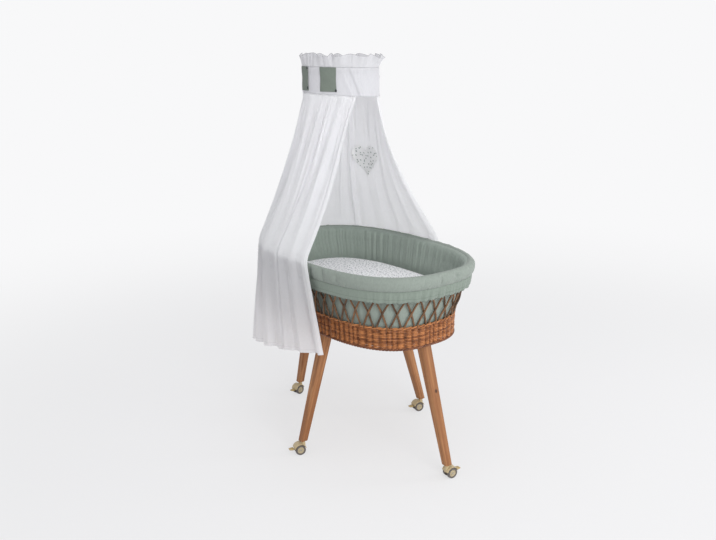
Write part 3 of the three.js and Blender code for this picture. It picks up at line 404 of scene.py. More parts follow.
def cloth_mesh(name, columns, rows, place, size, closed=False, edge=None):
    bm = bmesh.new()
    uv = bm.loops.layers.uv.new("UVMap")
    bmesh.ops.create_grid(bm, x_segments=columns, y_segments=rows, size=0.5)
    flat = np.array([vert.co[:2] for vert in bm.verts]) + 0.5
    places = place(flat[:, 0], flat[:, 1])
    for face in bm.faces:
        for loop in face.loops:
            u, v = flat[loop.vert.index]
            loop[uv].uv = (u * size[0], v * size[1])
    for vert, spot in zip(bm.verts, places):
        vert.co = spot
    if edge is not None:
        layer = bm.verts.layers.float.new("edge")
        for vert, value in zip(bm.verts, edge(flat[:, 0], flat[:, 1])):
            vert[layer] = value
    if closed:
        bmesh.ops.remove_doubles(bm, verts=bm.verts, dist=1e-6)
        bmesh.ops.recalc_face_normals(bm, faces=bm.faces)
    return mesh_from(bm, name)


def thicken(piece, thickness):
    layer = piece.modifiers.new("thickness", "SOLIDIFY")
    layer.thickness = thickness
    layer.offset = 0


def sew(name, grid, place, cut, dress, thickness=None, closed=True, edge=None):
    mesh = cloth_mesh(name, *grid, place, cut, closed, edge)
    piece = put(name, mesh, *dress)
    if thickness:
        thicken(piece, thickness)
    print(name, "area", round(sum(face.area for face in mesh.polygons), 5))
    return piece


def round_edges(bm, edges, offset, segments):
    bmesh.ops.bevel(
        bm, geom=edges, offset=offset, segments=segments, profile=0.5, affect="EDGES", material=-1,
    )


def sharp_edges(bm, angle):
    shared = [edge for edge in bm.edges if len(edge.link_faces) == 2]
    return [edge for edge in shared if edge.calc_face_angle() > angle]


print("shape helpers ready")

# %% [markdown]
# ## Finishes for wood and cane
#
# A cane is peeled willow that was boiled in its bark: each one has its own brown, with darker and
# paler stretches along it. The mesh carries a "cane" attribute, how far along, which cane, and how
# far it stands to the front, so the pattern follows every bend, and the canes that lie back in the
# dips between the ribs are painted darker, as painted shade. The legs are planed beech: their grain
# runs lengthwise, in a "grain" attribute of their own. The board's grain runs along its length.

# %% Cane finish
# Colour that multiplies the canes lying back in the dips between the ribs: painted shade.
DIP_SHADE = (0.42, 0.36, 0.33, 1)
cane_group, given, made = group(
    "cane streaks", {"Place": "v", "Pale": "c", "Dark": "c"}, {"Color": "c", "Height": "f"},
)
tree = cane_group
parts = node(tree, "ShaderNodeSeparateXYZ", i0=given["Place"]).outputs
which = parts[1]
long_place = node(
    tree, "ShaderNodeCombineXYZ", i0=times(tree, parts[0], 22.0), i1=times(tree, which, 90.0),
).outputs[0]
stretches = noise(tree, long_place, 1.4, 3.0, 0.6)
solid = coordinates(tree, "Object")
fibres = noise(tree, stretch(tree, solid, 260, 260, 700), 1.0, 2.0)
tone = plus(tree, times(tree, stretches, 0.9), times(tree, which, 0.22))
tone = plus(tree, tone, times(tree, fibres, 0.25))
worn = blend(tree, between(tree, tone, 0.45, 0.95), given["Dark"], given["Pale"])
shaded_in_dips = blend(tree, 1.0, worn, DIP_SHADE, "MULTIPLY")
# Canes lying back in the dips between the ribs are painted darker, as painted shade.
to_the_front = between(tree, parts[2], -1.1, 0.5)
tree.links.new(blend(tree, to_the_front, shaded_in_dips, worn), made["Color"])
tree.links.new(plus(tree, fibres, stretches), made["Height"])


def cane_paint(name, pale, dark, roughness):
    paint, tree, shader = material(name, Roughness=roughness, Specular_IOR_Level=0.4)
    place = attribute(tree, "cane")["Vector"]
    streaks = use_group(tree, cane_group, Place=place, Pale=colour(pale), Dark=colour(dark))
    connect(tree, shader, streaks["Color"], None, streaks["Height"], 0.0006, 0.5)
    return paint


woven_cane = cane_paint("woven willow", "c2804c", "764220", 0.4)
border_cane = cane_paint("border willow", "834f2f", "402110", 0.42)
lattice_cane = cane_paint("lattice willow", "7f5b3c", "473220", 0.45)
print("cane finishes:", woven_cane.name, border_cane.name, lattice_cane.name)

# %% Wood finish
KNOT_SQUASH = 0.8
KNOT_PLACE, KNOT_RADII = (0.0184, 0.0016, KNOT_SQUASH * 0.311), (0.0030, 0.0078)
wood_group, given, made = group(
    "planed wood", {"Grain": "v", "Pale": "c", "Dark": "c"},
    {"Color": "c", "Roughness": "f", "Height": "f"},
)
tree = wood_group
wander = noise(tree, stretch(tree, given["Grain"], 6, 6, 1.6), 1.0, 2.0)
aside = node(tree, "ShaderNodeCombineXYZ", i0=times(tree, wander, 7.0)).outputs[0]
rings = vectors(tree, "ADD", stretch(tree, given["Grain"], 120, 70, 3.5), aside)[0]
bands = noise(tree, rings, 1.0, 3.0, 0.6)
pores = noise(tree, stretch(tree, given["Grain"], 1500, 1500, 60), 1.0, 1.0)
knot_gap = vectors(tree, "DISTANCE", stretch(tree, given["Grain"], 1, 1, KNOT_SQUASH), KNOT_PLACE)
knot = less(tree, 1.0, between(tree, knot_gap["Value"], *KNOT_RADII))
tone = plus(tree, times(tree, bands, 0.9), times(tree, wander, 0.35))
shade = blend(tree, between(tree, tone, 0.42, 0.9), given["Dark"], given["Pale"])
shade = blend(tree, between(tree, pores, 0.62, 0.75), shade, blend(tree, 0.6, shade, given["Dark"]))
tree.links.new(blend(tree, knot, shade, colour("4a2a18")), made["Color"])
tree.links.new(plus(tree, 0.42, times(tree, bands, 0.18)), made["Roughness"])
tree.links.new(plus(tree, bands, pores), made["Height"])


def wood_paint(name, pale, dark, own_grain):
    paint, tree, shader = material(name, Specular_IOR_Level=0.4)
    if own_grain:
        grain = attribute(tree, "grain")["Vector"]
    else:
        upright = (0, math.radians(90), 0)
        turned = node(
            tree, "ShaderNodeMapping", Vector=coordinates(tree, "Object"), Rotation=upright,
        )
        grain = turned.outputs[0]
    wood = use_group(tree, wood_group, Grain=grain, Pale=colour(pale), Dark=colour(dark))
    connect(tree, shader, wood["Color"], wood["Roughness"], wood["Height"], 0.0003, 0.4)
    return paint


leg_wood = wood_paint("beech legs", "b98558", "865632", True)
board_wood = wood_paint("plywood board", "cbb08a", "a88a62", False)
print("wood finishes:", leg_wood.name, board_wood.name)

# %% [markdown]
# ## Finishes for cloth
#
# The sage cloth is a double gauze: two thin layers caught together, so it crinkles softly all over.
# The canopy and the liner are a finer, plainer weave. One group makes threads and crinkles from the
# UV map in metres, and each cloth sets how strong they are. Where a cloth has an "edge" attribute,
# its distance from the hem, the hem and a line of stitches inside it are drawn darker. On the ruffle
# the strip along its top, under the cover, is drawn in the same darker shade as painted shadow.

# %% Cloth finish
LIGHT_SPREAD = 0.02
STITCH_INSET = 0.014
cloth_group, given, made = group(
    "woven cloth", {"Place": "v", "Color": "c", "Thread": "f", "Crinkle": "f"},
    {"Color": "c", "Height": "f"},
)
tree = cloth_group
wave = {"Vector": given["Place"], "Scale": given["Thread"], "Distortion": 1.2}
across = node(tree, "ShaderNodeTexWave", Detail=1.0, **wave)
along = node(tree, "ShaderNodeTexWave", **wave)
along.bands_direction = "Y"
threads = times(tree, across.outputs["Fac"], along.outputs["Fac"])
crinkles = noise(tree, stretch(tree, given["Place"], 190, 90, 190), 1.0, 3.0, 0.6)
patches = noise(tree, given["Place"], 9.0, 2.0)
height = plus(tree, times(tree, threads, 0.25), times(tree, crinkles, given["Crinkle"]))
tree.links.new(height, made["Height"])
darker = blend(tree, 1.0, given["Color"], (0.80, 0.80, 0.80, 1), "MULTIPLY")
lighter = blend(tree, times(tree, patches, 0.35), given["Color"], darker)
# The furrows of the crinkles, where the bump is low, are drawn darker: painted shade.
shaded_furrows = times(tree, between(tree, crinkles, 0.62, 0.3), times(tree, given["Crinkle"], 0.5))
tree.links.new(blend(tree, shaded_furrows, lighter, darker), made["Color"])


def woven(tree, shade, thread, crinkle):
    place = coordinates(tree, "UV")
    return use_group(
        tree, cloth_group, Place=place, Color=colour(shade), Thread=thread, Crinkle=crinkle,
    )


def cloth_paint(
    name, shade, thread=900.0, crinkle=1.0, bump=0.0006,
    edge_shade=None, edge_width=0.002, edge_strength=0.4, seen_through=0.0,
):
    paint, tree, shader = material(
        name, Roughness=0.92, Specular_IOR_Level=0.2, Sheen_Weight=0.15, Sheen_Roughness=0.5,
        Subsurface_Weight=seen_through, Subsurface_Radius=(1.0, 1.0, 1.0),
        Subsurface_Scale=LIGHT_SPREAD,
    )
    weave = woven(tree, shade, thread, crinkle)
    shown = weave["Color"]
    if edge_shade:
        inwards = attribute(tree, "edge")["Fac"]
        near_edge = less(tree, 1.0, between(tree, inwards, edge_width * 0.3, edge_width))
        from_stitch = maths(tree, "ABSOLUTE", less(tree, inwards, STITCH_INSET))
        stitched = less(tree, 1.0, between(tree, from_stitch, 0.0003, 0.0012))
        marked = times(tree, maths(tree, "MAXIMUM", near_edge, stitched), edge_strength)
        shown = blend(tree, marked, shown, colour(edge_shade))
    connect(tree, shader, shown, None, weave["Height"], bump, 0.6)
    return paint


sage_gauze = cloth_paint("sage double gauze", "8e978f", crinkle=1.0)
# The ruffle's edge shade marks its frayed hem and stitches, and also paints the shadow under the cover.
sage_ruffle = cloth_paint("sage ruffle", "848f85", crinkle=0.9, edge_shade="5c685e", edge_strength=0.55)
sage_lining = cloth_paint("sage lining", "98a39a", crinkle=0.8)
sage_tab_cloth = cloth_paint("sage tab cloth", "767f76", crinkle=0.7)
white_voile = cloth_paint(
    "white voile", "fafafd", 1100.0, 0.25, 0.0003, edge_shade="cfcfd2", seen_through=0.6,
)
sash_cloth = cloth_paint("canopy sash cloth", "d2d2d6", 1100.0, 0.4, 0.0004, seen_through=0.3)
frill_cloth = cloth_paint(
    "canopy frill cloth", "d0d0d3", 1100.0, 0.4, 0.0004,
    edge_shade="6e6e72", edge_width=0.0026, edge_strength=0.6, seen_through=0.3,
)
mattress_tick = cloth_paint("mattress ticking", "f0f0ee", thread=500.0, crinkle=0.3)
print("cloth finishes:", sage_gauze.name, sage_ruffle.name, sage_lining.name, white_voile.name)

# %% [markdown]
# ## Small printed cloth
#
# The fitted sheet and the heart patch share a white cotton with small grey-green sprigs. A Voronoi
# pattern scatters one point in each cell; keeping only what lies close to a point gives loose dots,
# and a little noise in the distance makes leaves of them.

# %% Printed cloth
def printed_cloth(name, spacing, size, shade, ink):
    paint, tree, shader = material(name, Roughness=0.9, Specular_IOR_Level=0.2, Sheen_Weight=0.1)
    place = coordinates(tree, "UV")
    weave = woven(tree, shade, 1000.0, 0.3)
    uneven = node(tree, "ShaderNodeTexNoise", Vector=place, Scale=2.2 / spacing).outputs["Color"]
    shift = vectors(tree, "MULTIPLY", uneven, (spacing * 0.5,) * 3)[0]
    bent = vectors(tree, "ADD", place, shift)[0]
    sprigs = node(tree, "ShaderNodeTexVoronoi", Vector=bent, Scale=1 / spacing, Randomness=0.85)
    sprigs.voronoi_dimensions = "2D"
    mark = less(tree, 1.0, between(tree, sprigs.outputs["Distance"], size * 0.6, size))
    printed = blend(tree, times(tree, mark, 0.85), weave["Color"], colour(ink))
    connect(tree, shader, printed, None, weave["Height"], 0.0004, 0.5)
    return paint


sheet_print = printed_cloth("sprigged cotton sheet", 0.0125, 0.28, "fafafb", "8d9194")
heart_print = printed_cloth("sprigged cotton heart", 0.0150, 0.24, "fefefe", "98a09b")
print("printed cloths:", sheet_print.name, heart_print.name)

# %% [markdown]
# ## Finishes for plastic and metal
#
# Moulded plastic has a slightly uneven sheen, and handled metal has fine scratches. One group gives
# both: a soft cloud in the roughness and a small change in the colour.

# %% Moulded and metal finishes
wear_group, given, made = group(
    "handled surface", {"Color": "c", "Base": "f", "Spread": "f"},
    {"Color": "c", "Roughness": "f", "Height": "f"},
)
tree = wear_group
solid = coordinates(tree, "Object")
cloud = noise(tree, solid, 55.0, 3.0, 0.6)
fine = noise(tree, solid, 900.0, 2.0)
dulled = blend(tree, 1.0, given["Color"], (0.78, 0.76, 0.74, 1), "MULTIPLY")
tree.links.new(blend(tree, times(tree, cloud, 0.3), given["Color"], dulled), made["Color"])
uneven = times(tree, less(tree, cloud, 0.5), given["Spread"])
tree.links.new(plus(tree, given["Base"], uneven), made["Roughness"])
tree.links.new(fine, made["Height"])


def hard_paint(name, shade, roughness, metallic=0.0):
    paint, tree, shader = material(name, Metallic=metallic)
    worn = use_group(tree, wear_group, Color=colour(shade), Base=roughness, Spread=0.25)
    connect(tree, shader, worn["Color"], worn["Roughness"], worn["Height"], 0.00008, 0.5)
    return paint


cream_plastic = hard_paint("cream plastic", "c0ae88", 0.4)
wheel_disc_plastic = hard_paint("wheel disc plastic", "b0a386", 0.45)
tread_rubber = hard_paint("grey tread", "5f5955", 0.65)
pedal_plastic = hard_paint("pedal plastic", "b39c68", 0.42)
knob_plastic = hard_paint("knob plastic", "d8d6cc", 0.42)
zinc_steel = hard_paint("zinc plated steel", "b9bcc0", 0.32, 0.9)
white_enamel = hard_paint("white enamelled tube", "eceae6", 0.35)
bracket_enamel = hard_paint("enamelled bracket", "e2e1dd", 0.4)
# Dark finish for the studs at the tab edges, which stand for shade in the loops' openings: painted
# shade.
shade_spot_paint = hard_paint("painted shade spot", "3c4040", 0.35, 0.7)
print("hard finishes:", cream_plastic.name, tread_rubber.name, zinc_steel.name, white_enamel.name)

# %% [markdown]
# ## CAD pieces that stay
#
# The board, the floor, the hoop in the rim, the leg plates, the stems and axles, the bracket and
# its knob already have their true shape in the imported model. They only need a finish.

# %% Dress the CAD pieces
FINISHES = {
    "base_board": board_wood,
    "wicker_floor": board_wood,
    "rim_hoop": board_wood,
    "rod_bracket": bracket_enamel,
    "clamp_knob": knob_plastic,
}
LEG_NAMES = ("foot", "far", "head", "near")
for leg_name in LEG_NAMES:
    for fitting in ("leg_plate", "castor_stem", "castor_axle"):
        FINISHES[f"{fitting}_{leg_name}"] = zinc_steel
for node_name, paint in FINISHES.items():
    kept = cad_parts[node_name]
    for held in kept.material_slots:
        held.material = paint
print("dressed", len(FINISHES), "CAD pieces")

# %% [markdown]
# ## Woven band
#
# The foot of the basket is paired work: rows of thin willow pass in front of the upright stakes and
# dip between them, a little further at every second stake, so the stakes show as ribs. It could be
# a bumpy wall, but real canes catch the light along their length, so each row is one cane that
# swings as it goes.

# %% Weave the band
STAKES, STAKE, STAKE_ENDS = 88, 0.0021, (0.479, 0.5605)
ROWS, FIRST_ROW, ROW_RISE, ROW_SWING = 13, 0.4882, 0.0056, 0.0028
WEAVER, WAVERS = 0.0027, 40


def rib_place(share):
    turn = 2 * math.pi * share
    return share * STAKES + 0.22 * np.sin(13 * turn) + 0.12 * np.sin(29 * turn + 1)


def weaver_side(share, row):
    place = rib_place(share)
    strength = 0.78 + 0.22 * np.cos(2 * math.pi * 19 * share + row)
    return strength * (0.9 * np.cos(2 * math.pi * place) + 0.1 * np.cos(math.pi * (place + row)))


def weaver_shares(per_stake):
    return np.arange(STAKES * per_stake) / (STAKES * per_stake)


def weaver_path(z, row, swing, per_stake=6):
    share = weaver_shares(per_stake)
    rng = np.random.default_rng(row * 17 + 3)
    knots = np.append(rng.normal(0, 1, WAVERS), 0)
    waver = np.interp(share * WAVERS, np.arange(WAVERS + 1), knots)
    return wall_point(share, swing * weaver_side(share, row), z + 0.00025 * waver)


rows = [weaver_path(FIRST_ROW + row * ROW_RISE, row, ROW_SWING) for row in range(ROWS)]
fronts = [weaver_side(weaver_shares(6), row) for row in range(ROWS)]
band_mesh = cane_mesh("woven_band", rows, WEAVER, 6, closed=True, fronts=fronts)
band = put("woven_band", band_mesh, woven_cane, "wicker", "basket", ["wicker_band"])
print("band rows", len(rows), "faces", len(band.data.polygons))

# %% Stand the stakes
all_round = np.linspace(0, 1, 4401)
stake_shares = np.interp(np.arange(1, STAKES + 1), rib_place(all_round), all_round)
heights = np.linspace(*STAKE_ENDS, 5)
stakes = [wall_point(np.full(len(heights), share), 0.0, heights) for share in stake_shares]
stakes_mesh = cane_mesh("band_stakes", stakes, STAKE, 8)
put("band_stakes", stakes_mesh, border_cane, "wicker", "basket", ["wicker_band"])
print("stakes", len(stakes))

# %% [markdown]
# ## Borders
#
# The stakes are closed off below by a border of canes that twist round each other like a rope, and
# above by a waling row, two canes that twist round each other at about every second stake.

# %% Twist the borders
BORDER_HEIGHT, WALING_HEIGHT = 0.4822, 0.5575


def twisted(name, z, strands, turns, reach, per_turn, radius):
    share = np.arange(turns * per_turn) / (turns * per_turn)
    paths = []
    for strand in range(strands):
        angle = 2 * math.pi * (share * turns + strand / strands)
        paths.append(wall_point(share, reach * np.cos(angle), z + reach * np.sin(angle)))
    return cane_mesh(name, paths, radius, 8, closed=True)


border_mesh = twisted("twisted_border", BORDER_HEIGHT, 3, 58, 0.0030, 10, 0.0031)
put("twisted_border", border_mesh, border_cane, "wicker", "basket", ["bottom_border"])
waling_mesh = twisted("top_waling", WALING_HEIGHT, 2, 39, 0.0026, 12, 0.0026)
put("top_waling", waling_mesh, woven_cane, "wicker", "basket", ["wicker_band"])
print("border faces", len(border_mesh.polygons), "waling faces", len(waling_mesh.polygons))

# %% [markdown]
# ## Open lattice
#
# Round canes lean both ways over the band and cross in front of and behind each other, and cross
# again where the ruffle covers them. They end in a woven collar under the padded cover.

# %% Build the lattice
PAIRS, LATTICE_ROD, LATTICE_SPREAD = 44, 0.0035, 0.42
CROSSING, SECOND_CROSSING, CROSSING_GAP = 0.616, 0.668, 0.0038
COLLAR, COLLAR_ROWS, COLLAR_RISE, COLLAR_SWING = 0.6946, 5, 0.0062, 0.0034


def lattice_path(pair, lean):
    z = np.linspace(BAND_TOP - 0.004, COLLAR + 0.01, 25)
    below = clamp((CROSSING - z) / (CROSSING - BAND_TOP))
    turn = np.where(
        z < CROSSING, -LATTICE_SPREAD * below, 0.5 * (z - CROSSING) / (SECOND_CROSSING - CROSSING),
    )
    turn = np.convolve(np.pad(turn, 2, mode="edge"), np.ones(5) / 5, mode="valid")
    turn[:2] = turn[2] - 0.012
    share = (pair + lean * turn) / PAIRS
    crossings = bump_at(z, CROSSING, 0.02) + bump_at(z, SECOND_CROSSING, 0.02)
    return wall_point(share, lean * CROSSING_GAP * crossings, z)


rods = [lattice_path(pair, lean) for pair in range(PAIRS) for lean in (1, -1)]
lattice_mesh = cane_mesh("lattice_canes", rods, LATTICE_ROD, 8)
put("lattice_canes", lattice_mesh, lattice_cane, "lattice_rods", "basket", ["wicker_lattice"])
collar_rows = [
    weaver_path(COLLAR + 0.003 + row * COLLAR_RISE, row, COLLAR_SWING, per_stake=4)
    for row in range(COLLAR_ROWS)
]
collar_mesh = cane_mesh("lattice_collar", collar_rows, 0.003, 6, closed=True)
put("lattice_collar", collar_mesh, woven_cane, "lattice_rods", "basket", ["wicker_lattice"])
print("lattice canes", len(rods), "faces", len(lattice_mesh.polygons), "collar rows", len(collar_rows))

# %% [markdown]
# ## Padded cover
#
# The cover is a roll of wadding in double gauze, folded over the rim hoop. Its section is an
# upside-down U. Fabric is cut longer than the roll it wraps, so it wrinkles: a cloth simulation
# with a little spare cloth and pressure from inside gives those wrinkles, while the seam and the
# channel stay pinned.

# %% Shape the padded cover
COVER_SECTION = np.array([
    (0.0185, 0.7065), (0.0195, 0.712), (0.0197, 0.722), (0.0178, 0.735), (0.0140, 0.745),
    (0.0082, 0.7528), (0.0010, 0.7560), (-0.0062, 0.7530), (-0.0108, 0.746), (-0.0132, 0.735),
    (-0.0136, 0.724), (-0.0122, 0.712), (-0.0108, 0.7070), (-0.0092, 0.7075), (-0.0090, 0.716),
    (-0.0090, 0.730), (-0.0085, 0.7425), (0.0, 0.7445), (0.0085, 0.7425), (0.0090, 0.730),
    (0.0092, 0.716), (0.0120, 0.7075),
])
COVER_GRID, COVER_CUT = (900, 34), (2.32, 0.2)


def round_section(section, part):
    lengths = np.linalg.norm(np.diff(section, axis=0, append=section[:1]), axis=1)
    at = np.concatenate(([0], np.cumsum(lengths))) / lengths.sum()
    looped = np.vstack([section, section[:1]])
    return np.interp(part % 1, at, looped[:, 0]), np.interp(part % 1, at, looped[:, 1])


def gathers(share, count, seed, spread=0.35):
    rng = np.random.default_rng(seed)
    knots = np.sort((np.arange(count) + rng.uniform(-spread, spread, count)) / count)
    heights = rng.uniform(0.45, 1.0, count)
    place = np.interp(
        share % 1, np.concatenate(([knots[-1] - 1], knots, [knots[0] + 1])), np.arange(-1, count + 1),
    )
    low = np.floor(place).astype(int)
    depth = mix(heights[low % count], heights[(low + 1) % count], place - low)
    return depth * np.cos(2 * math.pi * place)


def inner_folds(share, z):
    sway = share + 0.001 * np.sin(z * 60)
    strength = 1 + 0.45 * gathers(share, 9, 24)
    folds = gathers(sway, 150, 21) * 0.0013 + gathers(share, 57, 22) * 0.0015
    return strength * folds + gathers(share, 260, 23) * 0.0004


def cover_place(share, part):
    out, z = round_section(COVER_SECTION, part)
    outer = clamp(out / 0.018) * clamp((z - SEAM_HEIGHT) / 0.006)
    turn = share * 2 * math.pi
    soft = 0.0006 * np.sin(turn * 23 + 3 * np.sin(turn * 5))
    return wall_point(share, out - 0.0012 * outer + soft * outer, z)


cover = sew(
    "rim_cover", COVER_GRID, cover_place, COVER_CUT,
    (sage_gauze, "sage_cloth", "basket", ["padded_cover"]),
)

# %% Let the cover wrinkle
def positions(mesh):
    flat = np.zeros(len(mesh.vertices) * 3)
    mesh.vertices.foreach_get("co", flat)
    return flat.reshape(-1, 3)


def swell(piece, held, pressure, spare, cap, frames=20):
    mesh = piece.data
    start = positions(mesh)
    pins = piece.vertex_groups.new(name="held")
    weights = held(start)
    for index in np.nonzero(weights > 0.01)[0]:
        pins.add([int(index)], float(weights[index]), "REPLACE")
    cloth = piece.modifiers.new("cloth", "CLOTH")
    settings = cloth.settings
    settings.quality = 5
    settings.use_pressure = True
    settings.uniform_pressure_force = pressure
    settings.shrink_min = -spare
    settings.tension_stiffness = settings.compression_stiffness = 12
    settings.bending_stiffness = 0.3
    settings.vertex_group_mass = "held"
    settings.effector_weights.gravity = 0
    cloth.point_cache.frame_start, cloth.point_cache.frame_end = 1, frames
    for number in range(1, frames + 1):
        bpy.context.scene.frame_set(number)
    solved = piece.evaluated_get(bpy.context.evaluated_depsgraph_get())
    moved = positions(solved.data) - start
    piece.modifiers.remove(cloth)
    piece.vertex_groups.clear()
    bpy.context.scene.frame_set(1)
    reach = np.linalg.norm(moved, axis=1)
    moved *= (np.minimum(reach, cap) / np.maximum(reach, 1e-9))[:, None]
    mesh.vertices.foreach_set("co", (start + moved).ravel())
    mesh.update()
    return reach.max(), np.minimum(reach, cap).mean()


def cover_pins(points):
    half_length, half_width = wall_size(points[:, 2])
    x, y = np.abs(points[:, 0] - MIDDLE.x), np.abs(points[:, 1] - MIDDLE.y)
    behind_liner = (x / half_length) ** POWER + (y / half_width) ** POWER < 1
    at_seam = np.abs(points[:, 2] - SEAM_HEIGHT) < 0.003
    return (behind_liner | at_seam).astype(float)


moved = swell(cover, cover_pins, pressure=3.0, spare=0.05, cap=0.004)
print("cover moved at most, and on average:", moved)

# %% [markdown]
# ## Ruffle
#
# Below the seam hangs a gathered strip of the same gauze, with a raw, lightly frayed edge.
# Gathering a strip makes narrow folds at the seam that merge and open below. The strip is a grid
# whose points swing in and out, a little at the top and more at the edge.

# %% Gather the ruffle
RUFFLE_TOP, RUFFLE_BOTTOM, RUFFLE_CUT = 0.7090, 0.6650, (2.62, 0.046)


def ruffle_place(share, level):
    down = 1 - level
    at_foot = bump_at(share, 0.98, 0.09)
    pleats = gathers(share, 64, 11)
    wide = pleats * (0.0002 + 0.0042 * at_foot)
    narrow = gathers(share, 150, 12) * (0.0002 + 0.0017 * at_foot)
    fray = gathers(share, 210, 13) * (0.0001 + 0.0018 * at_foot)
    fray = fray + gathers(share, 17, 14) * 0.0004
    flare = 0.0146 + 0.0066 * (1 - np.exp(-5 * down)) + 0.0018 * down
    out = flare + wide * down ** 0.8 + narrow * clamp(down * 6) * (0.35 + 0.65 * down)
    z = mix(RUFFLE_TOP, RUFFLE_BOTTOM, down) + fray * down ** 3 - 0.001 * pleats * down * at_foot
    return wall_point(share, out, z)


# Distance from the frayed hem; the top strip under the cover is set to 0, so it is drawn in the edge
# shade as painted shadow.
def ruffle_hem_and_shadow(share, level):
    return np.where(level > 0.915, 0.0, level * RUFFLE_CUT[1])


ruffle = sew(
    "gathered_ruffle", (900, 12), ruffle_place, RUFFLE_CUT,
    (sage_ruffle, "sage_cloth", "basket", ["ruffle"]), thickness=0.0009, edge=ruffle_hem_and_shadow,
)

# %% [markdown]
# ## Liner
#
# The liner is sewn to the cover near its crest, hangs down to the floor of the basket, and turns in
# under the mattress. It shows twice: in strong upright wrinkles above the mattress, and as pale
# cloth behind the lattice.

# %% Hang the liner
LINER_BOTTOM, LINER_TOP, LINER_ROWS = 0.5278, 0.7563, 36
LINER_HEIGHTS = (0.56, 0.61, 0.65, 0.70, 0.712, 0.735, 0.744, 0.750)
LINER_REACH = (0.0085, 0.0105, 0.0147, 0.0150, 0.0172, 0.0178, 0.0148, 0.0080)
LINER_FOLDS = (0.0, 0.3, 0.9, 1.0, 1.0, 1.0, 0.6, 0.0)


def liner_place(share, level):
    flap = clamp(1 - level * LINER_ROWS)
    z = mix(LINER_BOTTOM, LINER_TOP, np.maximum(0, level - 1 / LINER_ROWS)) + 0.0005 * flap
    reach = np.interp(z, LINER_HEIGHTS, LINER_REACH) + 0.0130 * flap
    depth = np.interp(z, LINER_HEIGHTS, LINER_FOLDS)
    return wall_point(share, -reach - depth * inner_folds(share, z), z)


liner = sew(
    "basket_liner", (960, LINER_ROWS), liner_place, (2.36, 0.222),
    (sage_lining, "liner_cloth", "basket", ["liner"]), thickness=0.0008,
)

# %% [markdown]
# ## Mattress and fitted sheet
#
# The mattress is a foam pad with a piped edge at top and bottom, crowned a little in the middle,
# and its sides pull in between the two pipings. The sheet is stretched over it by elastic under its
# hem, so it keeps the pad's shape and only puckers on the sides.

# %% Turn the mattress
PAD_HALF = (0.3750, 0.2219)


def oval_lathe(section, share, part):
    at = np.linspace(0, 1, len(section))
    inset, z = np.interp(part, at, section[:, 0]), np.interp(part, at, section[:, 1])
    keep = np.maximum(1e-9, 1 - inset / PAD_HALF[1])
    x, y = oval(PAD_HALF[0] * keep, PAD_HALF[1] * keep, share)
    return np.stack([x + MIDDLE.x, y + MIDDLE.y, z], axis=-1)


PAD_SECTION = np.array([
    (PAD_HALF[1], 0.5285), (0.1, 0.5285), (0.03, 0.5285), (0.010, 0.5295), (0.004, 0.532),
    (0.0025, 0.5355), (0.0045, 0.539), (0.006, 0.55), (0.007, 0.575), (0.006, 0.602),
    (0.0045, 0.6165), (0.0025, 0.620), (0.005, 0.6245), (0.011, 0.6285), (0.022, 0.6322),
    (0.05, 0.6352), (0.10, 0.6380), (0.16, 0.6392), (PAD_HALF[1], 0.6395),
])


def pad_place(share, part):
    return oval_lathe(PAD_SECTION, share, part)


pad = sew(
    "mattress_pad", (160, 54), pad_place, (2.0, 0.6),
    (mattress_tick, "mattress_cloth", "basket", ["mattress"]),
)
smooth = pad.modifiers.new("round", "SUBSURF")
smooth.levels = smooth.render_levels = 1

# %% Stretch the sheet
SHEET_SECTION = np.array([
    (0.0045, 0.553), (0.0040, 0.560), (0.0045, 0.575), (0.0040, 0.602), (0.0025, 0.6165),
    (0.0008, 0.621), (0.0030, 0.6265), (0.0090, 0.6310), (0.0205, 0.6346), (0.05, 0.6374),
    (0.10, 0.6402), (0.16, 0.6413), (PAD_HALF[1], 0.6416),
])


def sheet_place(share, part):
    spots = oval_lathe(SHEET_SECTION, share, part)
    on_top = clamp((part - 0.55) / 0.2) * clamp((1 - part) / 0.12)
    x, y = spots[:, 0], spots[:, 1]
    ripple = 0.0005 * np.sin(95 * x + 40 * y + 2.5 * np.sin(30 * y)) + 0.0004 * np.sin(60 * y - 25 * x)
    spots[:, 2] += on_top * (ripple + 0.0002)
    puckers = clamp((0.25 - part) / 0.25) * 0.003 * gathers(share, 90, 31) ** 2
    spots[:, :2] -= np.stack([x - MIDDLE.x, y - MIDDLE.y], axis=-1) * puckers[:, None]
    return spots


def lay_flat(mesh, first, second):
    layer = mesh.uv_layers["UVMap"].data
    for loop in mesh.loops:
        spot = mesh.vertices[loop.vertex_index].co
        layer[loop.index].uv = (spot[first], spot[second])


sheet = sew(
    "cotton_sheet", (360, 60), sheet_place, (1.0, 1.0),
    (sheet_print, "sheet_cloth", "basket", ["fitted_sheet"]), thickness=0.0006,
)
lay_flat(sheet.data, 0, 1)

# %% [markdown]
# ## Legs
#
# Each leg is a square tapering stick, planed and with its edges rounded. A cube gives the stick:
# its top and bottom faces are moved and scaled, and a bevel rounds its edges. Before it is tilted,
# each point notes its place along the stick, so that the grain runs lengthwise in every leg. Each
# leg's grain is shifted by a step, so no two legs look cut from one piece.

# %% Make the legs
GRAIN_STEP = Vector((0.09, 0.05, 0.61))
LEG_TOP, LEG_FOOT = 0.4914, 0.052
LEG_TOP_SIDE, LEG_FOOT_SIDE = 0.040, 0.028
LONG_ROUNDING, END_ROUNDING = 0.0055, 0.0012
END_LEG, SIDE_LEG = (0.474, 0.34069), (0.297, 0.16443)
LEGS = {
    "foot": (0, *END_LEG), "far": (90, *SIDE_LEG), "head": (180, *END_LEG), "near": (270, *SIDE_LEG),
}


def long_edges(bm):
    return [edge for edge in bm.edges if abs(edge.verts[0].co.z - edge.verts[1].co.z) > 0.1]


